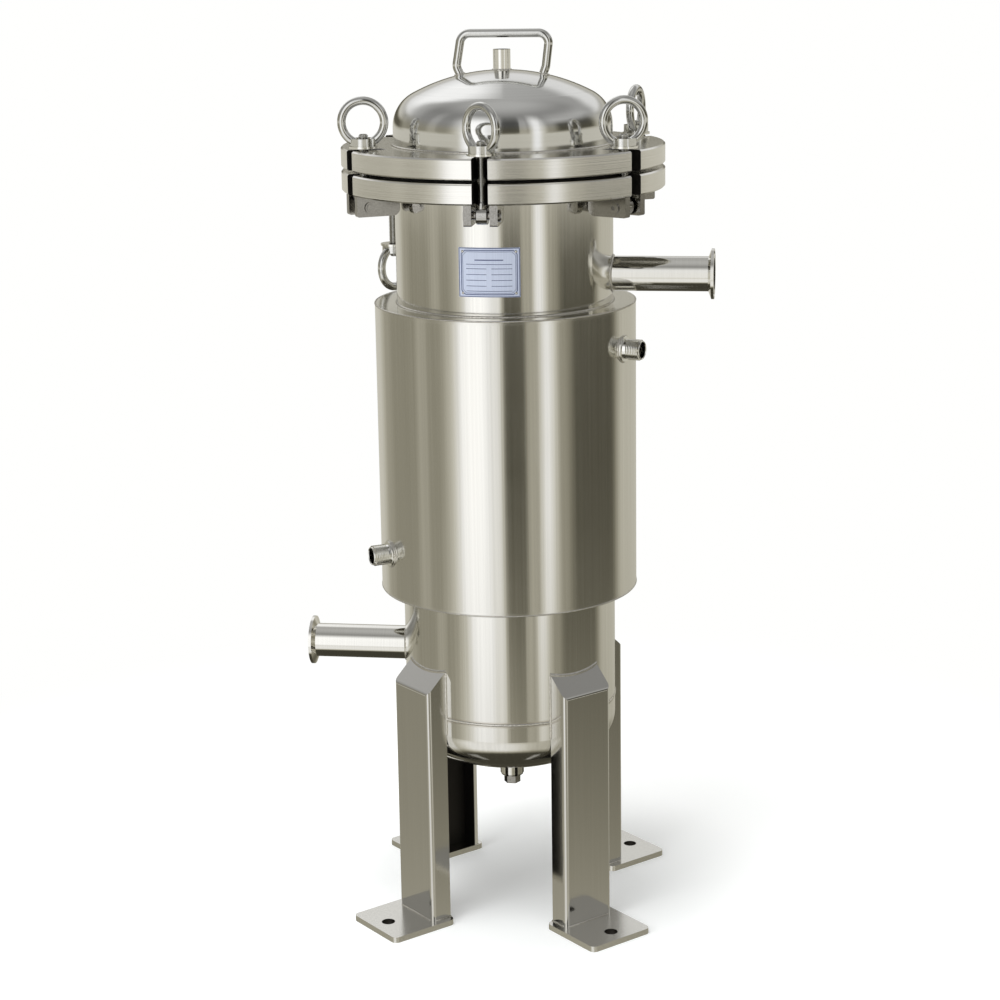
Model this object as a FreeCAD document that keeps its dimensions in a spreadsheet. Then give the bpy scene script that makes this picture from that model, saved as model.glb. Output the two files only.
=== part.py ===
"""Jacketed bag filter housing with a swing-bolt lid.

Millimetres. Origin: the vessel axis at floor level. +Z up the axis, the inlet points along +X,
the outlet along -X, and the nameplate faces -Y.
"""
import FreeCAD, Part
import math
import os
import re

import Sketcher
from FreeCAD import Placement, Rotation, Vector

OUT_FOLDER = "parts"
SHEET_NAME = "Sizes"

SIZES = {
    # vessel
    "shell_od": 219.0,
    "shell_wall": 3.0,
    "shell_bottom_z": 221.5,
    "shell_length": 530.5,
    "head_depth": 54.75,
    "head_knuckle": 37.0,
    "bottom_straight": 18.5,
    "nozzle_bore": 32.0,
    "nozzle_wall": 1.5,
    "nozzle_opening": 31.0,
    "nozzle_root": 2.0,
    "nozzle_reach": 211.0,
    "inlet_drop": 87.0,
    "outlet_rise": 50.0,
    # clamp ferrules
    "ferrule_od": 50.5,
    "ferrule_rim": 2.85,
    "ferrule_taper": 2.9,
    "ferrule_length": 13.0,
    "seal_groove_r": 21.8,
    "seal_groove_width": 3.2,
    "seal_groove_depth": 1.4,
    # heating jacket
    "jacket_gap": 22.5,
    "jacket_wall": 2.5,
    "jacket_bottom_z": 342.5,
    "jacket_drop": 114.5,
    "jacket_ring_thick": 4.0,
    "nipple_od": 21.0,
    "nipple_bore": 16.0,
    "nipple_opening": 15.0,
    "nipple_root": 1.5,
    "nipple_length": 20.5,
    "nipple_chamfer": 1.2,
    "nipple_collar_od": 26.0,
    "nipple_collar": 2.2,
    "upper_nipple_drop": 41.0,
    "lower_nipple_rise": 45.0,
    # flanges and gasket
    "flange_reach": 52.0,
    "flange_thick": 20.0,
    "flange_chamfer": 1.5,
    "gasket_thick": 3.5,
    "gasket_bore_gap": 5.0,
    "gasket_inset": 11.5,
    "slot_width": 15.0,
    # lid
    "dome_straight": 17.5,
    "vent_od": 17.2,
    "vent_wall": 2.0,
    "vent_rise": 20.0,
    "vent_inside": 8.0,
    "handle_rod": 8.5,
    "handle_width": 88.0,
    "handle_rise": 35.5,
    "handle_elbow_rise": 3.0,
    "handle_elbow_out": 1.5,
    "handle_foot_inset": 6.0,
    "handle_foot_drop": 16.0,
    "handle_skew": 4.0,
    "handle_bend": 10.0,
    # swing bolts
    "bolt_inset": 15.0,
    "bolt_rod": 10.0,
    "bolt_neck": 12.0,
    "bolt_neck_top": 12.5,
    "bolt_tip_above": 4.0,
    "bolt_tip_chamfer": 1.5,
    "bolt_eye_od": 17.0,
    "bolt_eye_width": 11.0,
    "pivot_drop": 11.0,
    "pivot_pin": 8.0,
    "pivot_head_od": 11.5,
    "pivot_head_thick": 1.6,
    "pivot_end": 0.6,
    "pivot_socket": 4.0,
    "pivot_socket_depth": 2.5,
    "running_gap": 0.08,
    "ear_thick": 7.5,
    "ear_spacing": 17.5,
    "ear_height": 20.0,
    "ear_shell_gap": 6.5,
    "ear_inset": 1.5,
    "ear_round": 7.0,
    "ear_tip_round": 2.0,
    "washer_od": 28.0,
    "washer_thick": 2.0,
    "washer_gap": 2.0,
    "washer_bore_gap": 0.3,
    "eye_collar_od": 25.0,
    "eye_collar_height": 7.5,
    "eye_ring_r": 20.75,
    "eye_wire": 8.3,
    "eye_ring_rise": 23.0,
    # legs and feet
    "leg_stand_off": 18.5,
    "leg_sink": 5.5,
    "leg_width": 60.0,
    "leg_sheet": 4.0,
    "leg_bend": 5.0,
    "leg_cap_z": 251.5,
    "leg_cap_rise": 22.0,
    "foot_size": 76.0,
    "foot_thick": 6.0,
    "foot_round": 6.0,
    "foot_stand_off": 33.5,
    "foot_hole_out": 20.0,
    "foot_hole": 13.0,
    # drain
    "drain_od": 25.0,
    "drain_length": 17.0,
    "drain_thread": 13.0,
    "drain_thread_gap": 0.08,
    "drain_seal_od": 23.0,
    "drain_seal_thick": 2.0,
    "plug_flats": 15.0,
    "plug_head": 9.0,
    "plug_shank": 12.0,
    # nameplate
    "nameplate_width": 60.0,
    "nameplate_height": 48.0,
    "nameplate_drop": 70.5,
    "nameplate_thick": 1.0,
    # basket and bag
    "seat_drop": 120.0,
    "seat_thick": 6.0,
    "seat_width": 13.0,
    "basket_seat_gap": 1.5,
    "basket_wall": 1.5,
    "basket_length": 392.0,
    "basket_hole": 16.0,
    "basket_hole_pitch": 58.0,
    "basket_first_hole": 46.5,
    "basket_rim_gap": 2.5,
    "basket_rim_thick": 4.0,
    "bag_gap": 0.5,
    "bag_wall": 1.5,
    "bag_bottom_gap": 4.0,
    "bag_ring_inset": 8.0,
    "bag_ring_thick": 5.0,
    "bail_rod": 5.0,
    "bail_inset": 10.0,
    "bail_rise": 9.0,
    "bail_bend": 6.0,
    "lug_inset": 8.0,
    "lug_thick": 3.0,
    "lug_width": 12.0,
    "lug_above_pin": 5.0,
}

BOLT_ANGLES = [0, 60, 120, 180, 240, 300]
OPEN_BOLT = 240
EYE_TURNS = {0: 50, 60: 55, 120: 48, 180: 35, 240: 90, 300: -22}
LEG_ANGLES = [45, 135, 225, 315]
UPPER_NIPPLE_ANGLE = 70
LOWER_NIPPLE_ANGLE = -58
BASKET_COLUMNS = 10
BASKET_ROWS = 6
TOUCH = 0.01

doc = FreeCAD.newDocument("bag_filter_housing")
sheet = doc.addObject("Spreadsheet::Sheet", SHEET_NAME)
sub_parts = []


def fill_sheet():
    for row, (name, value) in enumerate(SIZES.items(), start=1):
        sheet.set("A%d" % row, str(value))
        sheet.setAlias("A%d" % row, name)
    doc.recompute()


def size(name):
    """A driving size as a number, read from the sheet."""
    return float(sheet.get(name))


def bound(text):
    """An expression in plain size names, turned into one that reads the sheet."""
    def to_cell(match):
        word = match.group(0)
        return SHEET_NAME + "." + word if word in SIZES else word
    return re.sub(r"[A-Za-z_]\w*", to_cell, text)


def bind(feature, **texts):
    for name, text in texts.items():
        feature.setExpression(name, bound(text))


def at_angle(azimuth):
    """Turn that carries the local +X radius to an azimuth from the front, positive towards +X."""
    return Placement(Vector(0, 0, 0), Rotation(Vector(0, 0, 1), azimuth - 90))


def keep(feature, label, placement=None):
    feature.Label = label
    if placement is not None:
        feature.Placement = placement.multiply(feature.Placement)
    sub_parts.append(feature)
    return feature


def origin_plane(body, role):
    return [item for item in body.Origin.OriginFeatures if item.Role == role][0]


def new_sketch(body, role):
    sketch = body.newObject("Sketcher::SketchObject", "Profile")
    sketch.AttachmentSupport = [(origin_plane(body, role), "")]
    sketch.MapMode = "FlatFace"
    return sketch


def pin_point(sketch, geometry, point, across, up):
    """Hold one point of a sketch at two expressions from the sketch's origin."""
    for kind, text in (("DistanceX", across), ("DistanceY", up)):
        index = sketch.addConstraint(Sketcher.Constraint(kind, -1, 1, geometry, point, 1.0))
        sketch.setExpression("Constraints[%d]" % index, bound(text))


def draw_polygon(sketch, corners):
    """Closed outline with every corner held by a pair of expressions."""
    count = len(corners)
    first = sketch.GeometryCount
    start = [Vector(math.cos(2 * math.pi * i / count), math.sin(2 * math.pi * i / count), 0)
             for i in range(count)]
    for i in range(count):
        sketch.addGeometry(Part.LineSegment(start[i] * 50, start[(i + 1) % count] * 50))
    for i in range(count):
        following = first + (i + 1) % count
        sketch.addConstraint(Sketcher.Constraint("Coincident", first + i, 2, following, 1))
    for i, (across, up) in enumerate(corners):
        pin_point(sketch, first + i, 1, across, up)


def draw_circle(sketch, across, up, diameter):
    index = sketch.addGeometry(Part.Circle(Vector(0, 0, 0), Vector(0, 0, 1), 5))
    pin_point(sketch, index, 3, across, up)
    held = sketch.addConstraint(Sketcher.Constraint("Diameter", index, 10))
    sketch.setExpression("Constraints[%d]" % held, bound(diameter))


def new_body(name):
    return doc.addObject("PartDesign::Body", name)


def revolve(body, corners, axis="V_Axis"):
    """Outline in the X-Z plane turned about Z (V_Axis) or X (H_Axis)."""
    sketch = new_sketch(body, "XZ_Plane")
    draw_polygon(sketch, corners)
    turned = body.newObject("PartDesign::Revolution", "Revolution")
    turned.Profile = sketch
    turned.ReferenceAxis = (sketch, [axis])
    turned.Angle = 360
    return turned


def pad(body, role, corners, length, midplane=False, holes=()):
    sketch = new_sketch(body, role)
    draw_polygon(sketch, corners)
    for across, up, diameter in holes:
        draw_circle(sketch, across, up, diameter)
    raised = body.newObject("PartDesign::Pad", "Pad")
    raised.Profile = sketch
    raised.Midplane = midplane
    bind(raised, Length=length)
    return raised


def fillet(body, base, names, radius):
    doc.recompute()
    rounded = body.newObject("PartDesign::Fillet", "Fillet")
    rounded.Base = (base, names)
    bind(rounded, Radius=radius)
    return rounded


def edges_where(shape, test):
    """Names of the straight edges whose two end points both pass the test."""
    found = []
    for index, edge in enumerate(shape.Edges, start=1):
        if len(edge.Vertexes) == 2 and all(test(vertex.Point) for vertex in edge.Vertexes):
            found.append("Edge%d" % index)
    return found


def upright(edge):
    """Whether a straight edge stands parallel to Z."""
    run = edge.Vertexes[1].Point - edge.Vertexes[0].Point
    return abs(run.x) + abs(run.y) < TOUCH


def cylinder(radius, height, base=Vector(0, 0, 0), axis=Vector(0, 0, 1), base_z=None):
    made = doc.addObject("Part::Cylinder", "Cylinder")
    made.Placement = Placement(base, Rotation(Vector(0, 0, 1), axis))
    bind(made, Radius=radius, Height=height)
    if base_z is not None:
        made.setExpression("Placement.Base.z", bound(base_z))
    return made


def join(kind, base, tool):
    made = doc.addObject(kind, "Boolean")
    made.Base = base
    made.Tool = tool
    return made


def cut(base, tool):
    return join("Part::Cut", base, tool)


def fuse(base, tool):
    return join("Part::Fuse", base, tool)


def arc_through(start, end, centre):
    """Arc from start to end, anticlockwise about its centre."""
    circle = Part.Circle(centre, Vector(0, 0, 1), (start - centre).Length)
    angles = [math.atan2(point.y - centre.y, point.x - centre.x) for point in (start, end)]
    return Part.ArcOfCircle(circle, angles[0], angles[1])


def draw_dish(sketch, inset, straight):
    """Half outline of a dished end: axis, base, side, knuckle arc and crown arc."""
    side = "(shell_od/2 - %s)" % inset
    apex = "(%s + head_depth - %s)" % (straight, inset)
    share = "(%s - %s)/(%s - head_knuckle)" % (CROWN_R, inset, CROWN_R)
    meet_r = "(shell_od/2 - head_knuckle)*" + share
    meet_z = "%s + (%s - head_depth)*(%s - 1)" % (straight, CROWN_R, share)
    corners = [("0", apex), ("0", "0"), (side, "0"), (side, straight), (meet_r, meet_z)]
    points = [Vector(measure(across), measure(up), 0) for across, up in corners]
    hub = Vector(measure("shell_od/2 - head_knuckle"), measure(straight), 0)
    pole = Vector(0, measure("%s + head_depth - %s" % (straight, CROWN_R)), 0)
    outline = [Part.LineSegment(points[0], points[1]),
               Part.LineSegment(points[1], points[2]),
               Part.LineSegment(points[2], points[3]),
               arc_through(points[3], points[4], hub),
               arc_through(points[4], points[0], pole)]
    for piece in outline:
        sketch.addGeometry(piece)
    for i, (across, up) in enumerate(corners):
        sketch.addConstraint(Sketcher.Constraint("Coincident", i, 1, i - 1 if i else 4, 2))
        pin_point(sketch, i, 1, across, up)
    sketch.addConstraint(Sketcher.Constraint("Horizontal", 3, 3, 3, 1))
    sketch.addConstraint(Sketcher.Constraint("Vertical", 4, 3, 4, 2))


def head(inset, straight, base_z, upward):
    """Dished end as a solid, drawn upward and turned over for the bottom."""
    body = new_body("Head")
    sketch = new_sketch(body, "XZ_Plane")
    draw_dish(sketch, inset, straight)
    turned = body.newObject("PartDesign::Revolution", "Revolution")
    turned.Profile = sketch
    turned.ReferenceAxis = (sketch, ["V_Axis"])
    turned.Angle = 360
    body.Placement = Placement(Vector(0, 0, 0), Rotation(Vector(1, 0, 0), 0 if upward else 180))
    body.setExpression("Placement.Base.z", bound(base_z))
    return body


def ring_body(label, inner_r, outer_r, bottom, top, placement=None):
    body = new_body(label)
    revolve(body, [(inner_r, bottom), (outer_r, bottom), (outer_r, top), (inner_r, top)])
    return keep(body, label, placement)


def group(label, solids):
    """Identical pieces as separate solids under one name."""
    made = doc.addObject("Part::Feature", label)
    made.Shape = Part.makeCompound(solids)
    return keep(made, label)


BODY_FLANGE_Z = "(shell_bottom_z + shell_length)"
INLET_Z = "(%s - inlet_drop)" % BODY_FLANGE_Z
OUTLET_Z = "(shell_bottom_z + outlet_rise)"
JACKET_TOP_Z = "(%s - jacket_drop)" % BODY_FLANGE_Z
UPPER_NIPPLE_Z = "(%s - upper_nipple_drop)" % JACKET_TOP_Z
LOWER_NIPPLE_Z = "(jacket_bottom_z + lower_nipple_rise)"
SEAT_Z = "(%s - seat_drop)" % BODY_FLANGE_Z
LID_FLANGE_Z = "(%s + flange_thick + gasket_thick)" % BODY_FLANGE_Z
LID_TOP_Z = "(%s + flange_thick)" % LID_FLANGE_Z
CROWN_R = ("((shell_od*shell_od/4 + head_depth*head_depth - shell_od*head_knuckle)"
           "/(2*head_depth - 2*head_knuckle))")
SHELL_BORE_R = "(shell_od/2 - shell_wall)"
JACKET_R = "(shell_od/2 + jacket_gap)"
FLANGE_R = "(shell_od/2 + flange_reach)"
BOLT_R = "(%s - bolt_inset)" % FLANGE_R
PIVOT_Z = "(%s - pivot_drop)" % BODY_FLANGE_Z
LEG_FACE_R = "(shell_od/2 + leg_stand_off)"
LEG_BACK_R = "(shell_od/2 - leg_sink)"
FOOT_R = "(shell_od/2 + foot_stand_off)"
SEAT_R = "(%s - seat_width)" % SHELL_BORE_R
BASKET_R = "(%s - basket_seat_gap)" % SEAT_R
RIM_R = "(%s - basket_rim_gap)" % SHELL_BORE_R
LUG_R = "(%s - lug_inset)" % RIM_R


def measure(text):
    """Value of an expression in plain size names."""
    numbers = re.sub(r"[a-z]\w*", lambda match: repr(size(match.group(0))), text)
    return FreeCAD.Units.Quantity(numbers).Value


def make_shell():
    """Rolled shell with the two nozzle openings, a little narrower than the pipes' bore."""
    outer = cylinder("shell_od/2", "shell_length", base_z="shell_bottom_z")
    inner = cylinder("shell_od/2 - shell_wall", "shell_length", base_z="shell_bottom_z")
    tube = cut(outer, inner)
    inlet = cylinder("nozzle_opening/2", "shell_od", axis=Vector(1, 0, 0), base_z=INLET_Z)
    outlet = cylinder("nozzle_opening/2", "shell_od", axis=Vector(-1, 0, 0), base_z=OUTLET_Z)
    keep(cut(cut(tube, inlet), outlet), "shell")


def make_bottom_head():
    """Dished bottom with the drain opening."""
    outer = head("0", "bottom_straight", "shell_bottom_z", False)
    inner = head("shell_wall", "bottom_straight", "shell_bottom_z", False)
    drain = cylinder("drain_thread/2", "shell_bottom_z")
    keep(cut(cut(outer, inner), drain), "bottom_head")


def make_slotted_flange(label, base_z):
    """Flange ring with a chamfered rim and open slots for the swing bolts."""
    body = new_body(label)
    top = "%s + flange_thick" % base_z
    revolve(body, [
        (SHELL_BORE_R, base_z),
        (FLANGE_R + " - flange_chamfer", base_z),
        (FLANGE_R, "%s + flange_chamfer" % base_z),
        (FLANGE_R, "%s - flange_chamfer" % top),
        (FLANGE_R + " - flange_chamfer", top),
        (SHELL_BORE_R, top),
    ])
    sketch = new_sketch(body, "XY_Plane")
    draw_polygon(sketch, [
        (BOLT_R, "-slot_width/2"),
        ("2*" + FLANGE_R, "-slot_width/2"),
        ("2*" + FLANGE_R, "slot_width/2"),
        (BOLT_R, "slot_width/2"),
    ])
    slot = body.newObject("PartDesign::Pocket", "Slot")
    slot.Profile = sketch
    slot.Type = 1
    slot.Midplane = True
    round_sketch = new_sketch(body, "XY_Plane")
    draw_circle(round_sketch, BOLT_R, "0", "slot_width")
    slot_end = body.newObject("PartDesign::Pocket", "SlotEnd")
    slot_end.Profile = round_sketch
    slot_end.Type = 1
    slot_end.Midplane = True
    pattern = body.newObject("PartDesign::PolarPattern", "SlotPattern")
    pattern.Originals = [slot, slot_end]
    pattern.Axis = (origin_plane(body, "Z_Axis"), [""])
    pattern.Angle = 360
    pattern.Occurrences = len(BOLT_ANGLES)
    body.Tip = pattern
    return keep(body, label, at_angle(0))


def make_nozzle(side, placement):
    """Set-on pipe stub and its clamp ferrule, drawn along +X at floor level, then raised."""
    stub = new_body("stub")
    root = "shell_od/2 + nozzle_root"
    end = "nozzle_reach - ferrule_length"
    revolve(stub, [
        ("0", "nozzle_opening/2"),
        (root, "nozzle_opening/2"),
        (root, "nozzle_bore/2"),
        (end, "nozzle_bore/2"),
        (end, "nozzle_bore/2 + nozzle_wall"),
        ("0", "nozzle_bore/2 + nozzle_wall"),
    ], axis="H_Axis")
    vessel = cylinder("shell_od/2", "shell_od", base_z="-shell_od/2")
    keep(cut(stub, vessel), side + "_pipe", placement)
    body = new_body(side + "_ferrule")
    revolve(body, [
        ("nozzle_reach - ferrule_length", "nozzle_bore/2"),
        ("nozzle_reach", "nozzle_bore/2"),
        ("nozzle_reach", "seal_groove_r - seal_groove_width/2"),
        ("nozzle_reach - seal_groove_depth", "seal_groove_r - seal_groove_width/4"),
        ("nozzle_reach - seal_groove_depth", "seal_groove_r + seal_groove_width/4"),
        ("nozzle_reach", "seal_groove_r + seal_groove_width/2"),
        ("nozzle_reach", "ferrule_od/2"),
        ("nozzle_reach - ferrule_rim", "ferrule_od/2"),
        ("nozzle_reach - ferrule_rim - ferrule_taper", "nozzle_bore/2 + nozzle_wall"),
        ("nozzle_reach - ferrule_length", "nozzle_bore/2 + nozzle_wall"),
    ], axis="H_Axis")
    keep(body, side + "_ferrule", placement)


def make_nozzles():
    raised = Placement(Vector(0, 0, measure(INLET_Z)), Rotation())
    make_nozzle("inlet", raised)
    turned = Placement(Vector(0, 0, measure(OUTLET_Z)), Rotation(Vector(0, 0, 1), 180))
    make_nozzle("outlet", turned)


def nipple_hole(azimuth, height):
    hole = cylinder("nipple_opening/2", "2*" + JACKET_R, axis=Vector(1, 0, 0))
    hole.Placement = at_angle(azimuth).multiply(hole.Placement)
    hole.setExpression("Placement.Base.z", bound(height))
    return hole


def make_jacket():
    """Jacket shell with its two nipple openings, closed by flat rings on the vessel shell."""
    height = JACKET_TOP_Z + " - jacket_bottom_z - 2*jacket_ring_thick"
    start = "jacket_bottom_z + jacket_ring_thick"
    outer = cylinder(JACKET_R, height, base_z=start)
    inner = cylinder(JACKET_R + " - jacket_wall", height, base_z=start)
    tube = cut(outer, inner)
    tube = cut(tube, nipple_hole(UPPER_NIPPLE_ANGLE, UPPER_NIPPLE_Z))
    tube = cut(tube, nipple_hole(LOWER_NIPPLE_ANGLE, LOWER_NIPPLE_Z))
    keep(tube, "jacket_shell")
    ring_body("jacket_bottom_ring", "shell_od/2", JACKET_R,
              "jacket_bottom_z", "jacket_bottom_z + jacket_ring_thick")
    ring_body("jacket_top_ring", "shell_od/2", JACKET_R,
              JACKET_TOP_Z + " - jacket_ring_thick", JACKET_TOP_Z)


def make_nipple(label, azimuth, height):
    """Pipe nipple with a weld collar, set on the jacket."""
    body = new_body("nipple")
    start = JACKET_R + " - jacket_wall"
    root = JACKET_R + " + nipple_root"
    tip = JACKET_R + " + nipple_length"
    collar = JACKET_R + " + nipple_collar"
    revolve(body, [
        (start, "nipple_opening/2"),
        (root, "nipple_opening/2"),
        (root, "nipple_bore/2"),
        (tip, "nipple_bore/2"),
        (tip, "nipple_od/2 - nipple_chamfer"),
        (tip + " - nipple_chamfer", "nipple_od/2"),
        (collar, "nipple_od/2"),
        (collar, "nipple_collar_od/2"),
        (start, "nipple_collar_od/2"),
    ], axis="H_Axis")
    jacket = cylinder(JACKET_R, "2*" + JACKET_R, base_z="-" + JACKET_R)
    trimmed = cut(body, jacket)
    raised = Placement(Vector(0, 0, measure(height)), Rotation())
    keep(trimmed, label, raised.multiply(at_angle(azimuth)))


def make_leg(number, azimuth):
    """Folded channel leg, open towards the vessel, with a sloping cap and coped to the shell."""
    body = new_body("leg_%d" % number)
    slope = "(leg_cap_rise/(leg_stand_off + leg_sink))"
    block = pad(body, "XZ_Plane", [
        (LEG_BACK_R, "foot_thick"),
        (LEG_FACE_R, "foot_thick"),
        (LEG_FACE_R, "leg_cap_z"),
        (LEG_BACK_R, "leg_cap_z + leg_cap_rise"),
    ], "leg_width", midplane=True)
    doc.recompute()
    face = measure(LEG_FACE_R)
    on_face = edges_where(block.Shape, lambda p: abs(p.x - face) < TOUCH)
    low = size("foot_thick") + TOUCH
    bends = [name for name in on_face
             if any(vertex.Point.z > low for vertex in block.Shape.getElement(name).Vertexes)]
    fillet(body, block, bends, "leg_bend")
    inner_face = LEG_FACE_R + " - leg_sheet"
    sketch = new_sketch(body, "XZ_Plane")
    draw_polygon(sketch, [
        ("0", "0"),
        (inner_face, "0"),
        (inner_face, "leg_cap_z - leg_sheet"),
        ("0", "leg_cap_z - leg_sheet + (%s)*%s" % (inner_face, slope)),
    ])
    hollow = body.newObject("PartDesign::Pocket", "Hollow")
    hollow.Profile = sketch
    hollow.Midplane = True
    bind(hollow, Length="leg_width - 2*leg_sheet")
    cope_sketch = new_sketch(body, "XY_Plane")
    draw_circle(cope_sketch, "0", "0", "shell_od")
    cope = body.newObject("PartDesign::Pocket", "Cope")
    cope.Profile = cope_sketch
    cope.Type = 1
    cope.Midplane = True
    keep(body, "leg_%d" % number, at_angle(azimuth))


def make_foot_plate(number, azimuth):
    body = new_body("foot_plate_%d" % number)
    near = FOOT_R + " - foot_size/2"
    far = FOOT_R + " + foot_size/2"
    plate = pad(body, "XY_Plane", [
        (near, "-foot_size/2"),
        (far, "-foot_size/2"),
        (far, "foot_size/2"),
        (near, "foot_size/2"),
    ], "foot_thick", holes=[(FOOT_R + " + foot_hole_out", "0", "foot_hole")])
    doc.recompute()
    at_side = edges_where(plate.Shape, lambda p: abs(abs(p.y) - size("foot_size") / 2) < TOUCH)
    corners = [name for name in at_side if upright(plate.Shape.getElement(name))]
    fillet(body, plate, corners, "foot_round")
    keep(body, "foot_plate_%d" % number, at_angle(azimuth))


def make_ears():
    """Pairs of clevis plates welded under the body flange, one pair at each slot."""
    body = new_body("ear")
    top = BODY_FLANGE_Z
    low = "%s - ear_height" % top
    inner = "shell_od/2 + ear_shell_gap"
    outer = FLANGE_R + " - ear_inset"
    plate = pad(body, "XZ_Plane", [
        (inner, low),
        (outer, low),
        (outer, top),
        (inner, top),
    ], "ear_thick", midplane=True, holes=[(BOLT_R, PIVOT_Z, "pivot_pin + 2*running_gap")])
    doc.recompute()
    inner_x = measure(inner)
    outer_x = measure(outer)
    low_z = measure(low)
    near = edges_where(plate.Shape, lambda p: abs(p.z - low_z) + abs(p.x - inner_x) < TOUCH)
    rounded = fillet(body, plate, near, "ear_round")
    doc.recompute()
    far = edges_where(rounded.Shape, lambda p: abs(p.z - low_z) + abs(p.x - outer_x) < TOUCH)
    fillet(body, rounded, far, "ear_tip_round")
    doc.recompute()
    offset = (size("ear_spacing") + size("ear_thick")) / 2
    solids = []
    for azimuth in BOLT_ANGLES:
        for side in (-1, 1):
            one = body.Shape.copy()
            aside = Placement(Vector(0, side * offset, 0), Rotation())
            one.Placement = at_angle(azimuth).multiply(aside)
            solids.append(one)
    group("clevis_ears", solids)


def pivot_centre():
    return Vector(measure(BOLT_R), 0, measure(PIVOT_Z))


def across_pivot(azimuth):
    """Frame of one pivot: origin at the pin's centre, +Z along the pin, tangential."""
    along_pin = Placement(pivot_centre(), Rotation(Vector(0, 0, 1), Vector(0, 1, 0)))
    return at_angle(azimuth).multiply(along_pin)


def hexagon(flats, thick):
    made = doc.addObject("Part::Prism", "Hexagon")
    made.Polygon = 6
    bind(made, Circumradius="%s/sqrt(3)" % flats, Height=thick)
    return made


def make_pivots():
    """Low-headed pivot pins through the ears, with a retaining ring on each far end."""
    half = "(ear_spacing/2 + ear_thick)"
    below = "-%s - pivot_head_thick" % half
    shank = cylinder("pivot_pin/2", "2*%s + pivot_head_thick + pivot_end" % half, base_z="-" + half)
    low_head = cylinder("pivot_head_od/2", "pivot_head_thick", base_z=below)
    socket = hexagon("pivot_socket", "pivot_socket_depth")
    socket.setExpression("Placement.Base.z", bound(below))
    pin = cut(fuse(shank, low_head), socket)
    ring = cut(cylinder("pivot_head_od/2", "pivot_head_thick"),
               cylinder("pivot_pin/2 + running_gap", "pivot_head_thick"))
    doc.recompute()
    lift = Placement(Vector(0, 0, measure(half)), Rotation())
    pins = []
    rings = []
    for azimuth in BOLT_ANGLES:
        one = pin.Shape.copy()
        one.Placement = across_pivot(azimuth)
        pins.append(one)
        other = ring.Shape.copy()
        other.Placement = across_pivot(azimuth).multiply(lift)
        rings.append(other)
    group("pivot_pins", pins)
    group("pivot_rings", rings)


def closure_frame(azimuth):
    """Frame of one swing bolt: origin at the pivot, +Z along the bolt, hanging if left open."""
    turn = Rotation(Vector(0, 1, 0), 180) if azimuth == OPEN_BOLT else Rotation()
    return at_angle(azimuth).multiply(Placement(pivot_centre(), turn))


NUT_RISE = "(pivot_drop + 2*flange_thick + gasket_thick + washer_gap + washer_thick)"
BOLT_LENGTH = "(%s + eye_collar_height + bolt_tip_above)" % NUT_RISE


def make_swing_bolt(number, azimuth):
    """Rod with an eye that turns on the pivot bolt."""
    body = new_body("rod")
    revolve(body, [
        ("0", "0"),
        ("bolt_neck/2", "0"),
        ("bolt_neck/2", "bolt_neck_top - bolt_tip_chamfer"),
        ("bolt_rod/2", "bolt_neck_top"),
        ("bolt_rod/2", BOLT_LENGTH + " - bolt_tip_chamfer"),
        ("bolt_rod/2 - bolt_tip_chamfer", BOLT_LENGTH),
        ("0", BOLT_LENGTH),
    ])
    eye = cylinder("bolt_eye_od/2", "bolt_eye_width", axis=Vector(0, 1, 0))
    eye.setExpression("Placement.Base.y", bound("-bolt_eye_width/2"))
    hole = cylinder("pivot_pin/2 + running_gap", "2*bolt_neck", axis=Vector(0, 1, 0))
    hole.setExpression("Placement.Base.y", bound("-bolt_neck"))
    keep(cut(fuse(body, eye), hole), "swing_bolt_%d" % number, closure_frame(azimuth))


def make_washer(number, azimuth):
    ring_body("washer_%d" % number, "bolt_rod/2 + washer_bore_gap", "washer_od/2",
              NUT_RISE + " - washer_thick", NUT_RISE, closure_frame(azimuth))


def make_eye_nut(number, azimuth):
    """Lifting-eye nut: a collar with a ring on it, bored for the bolt."""
    collar = cylinder("eye_collar_od/2", "eye_collar_height")
    ring = doc.addObject("Part::Torus", "Torus")
    bind(ring, Radius1="eye_ring_r", Radius2="eye_wire/2")
    ring.Placement = Placement(Vector(0, 0, 0), Rotation(Vector(1, 0, 0), 90))
    ring.setExpression("Placement.Base.z", bound("eye_ring_rise"))
    below = cylinder("eye_collar_od", "eye_wire", base_z="-eye_wire")
    bore = cylinder("bolt_rod/2 + running_gap", "eye_collar_height")
    nut = cut(cut(fuse(collar, ring), below), bore)
    place = Placement(Vector(0, 0, measure(NUT_RISE)), Rotation(Vector(0, 0, 1), EYE_TURNS[azimuth]))
    keep(nut, "eye_nut_%d" % number, closure_frame(azimuth).multiply(place))


def make_dome():
    outer = head("0", "dome_straight", LID_TOP_Z, True)
    inner = head("shell_wall", "dome_straight", LID_TOP_Z, True)
    opening = cylinder("vent_od/2", "dome_straight + head_depth + vent_rise", base_z=LID_TOP_Z)
    keep(cut(cut(outer, inner), opening), "lid_dome")
    apex = "(%s + dome_straight + head_depth)" % LID_TOP_Z
    ring_body("vent_nozzle", "vent_od/2 - vent_wall", "vent_od/2",
              apex + " - vent_inside", apex + " + vent_rise")


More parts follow.
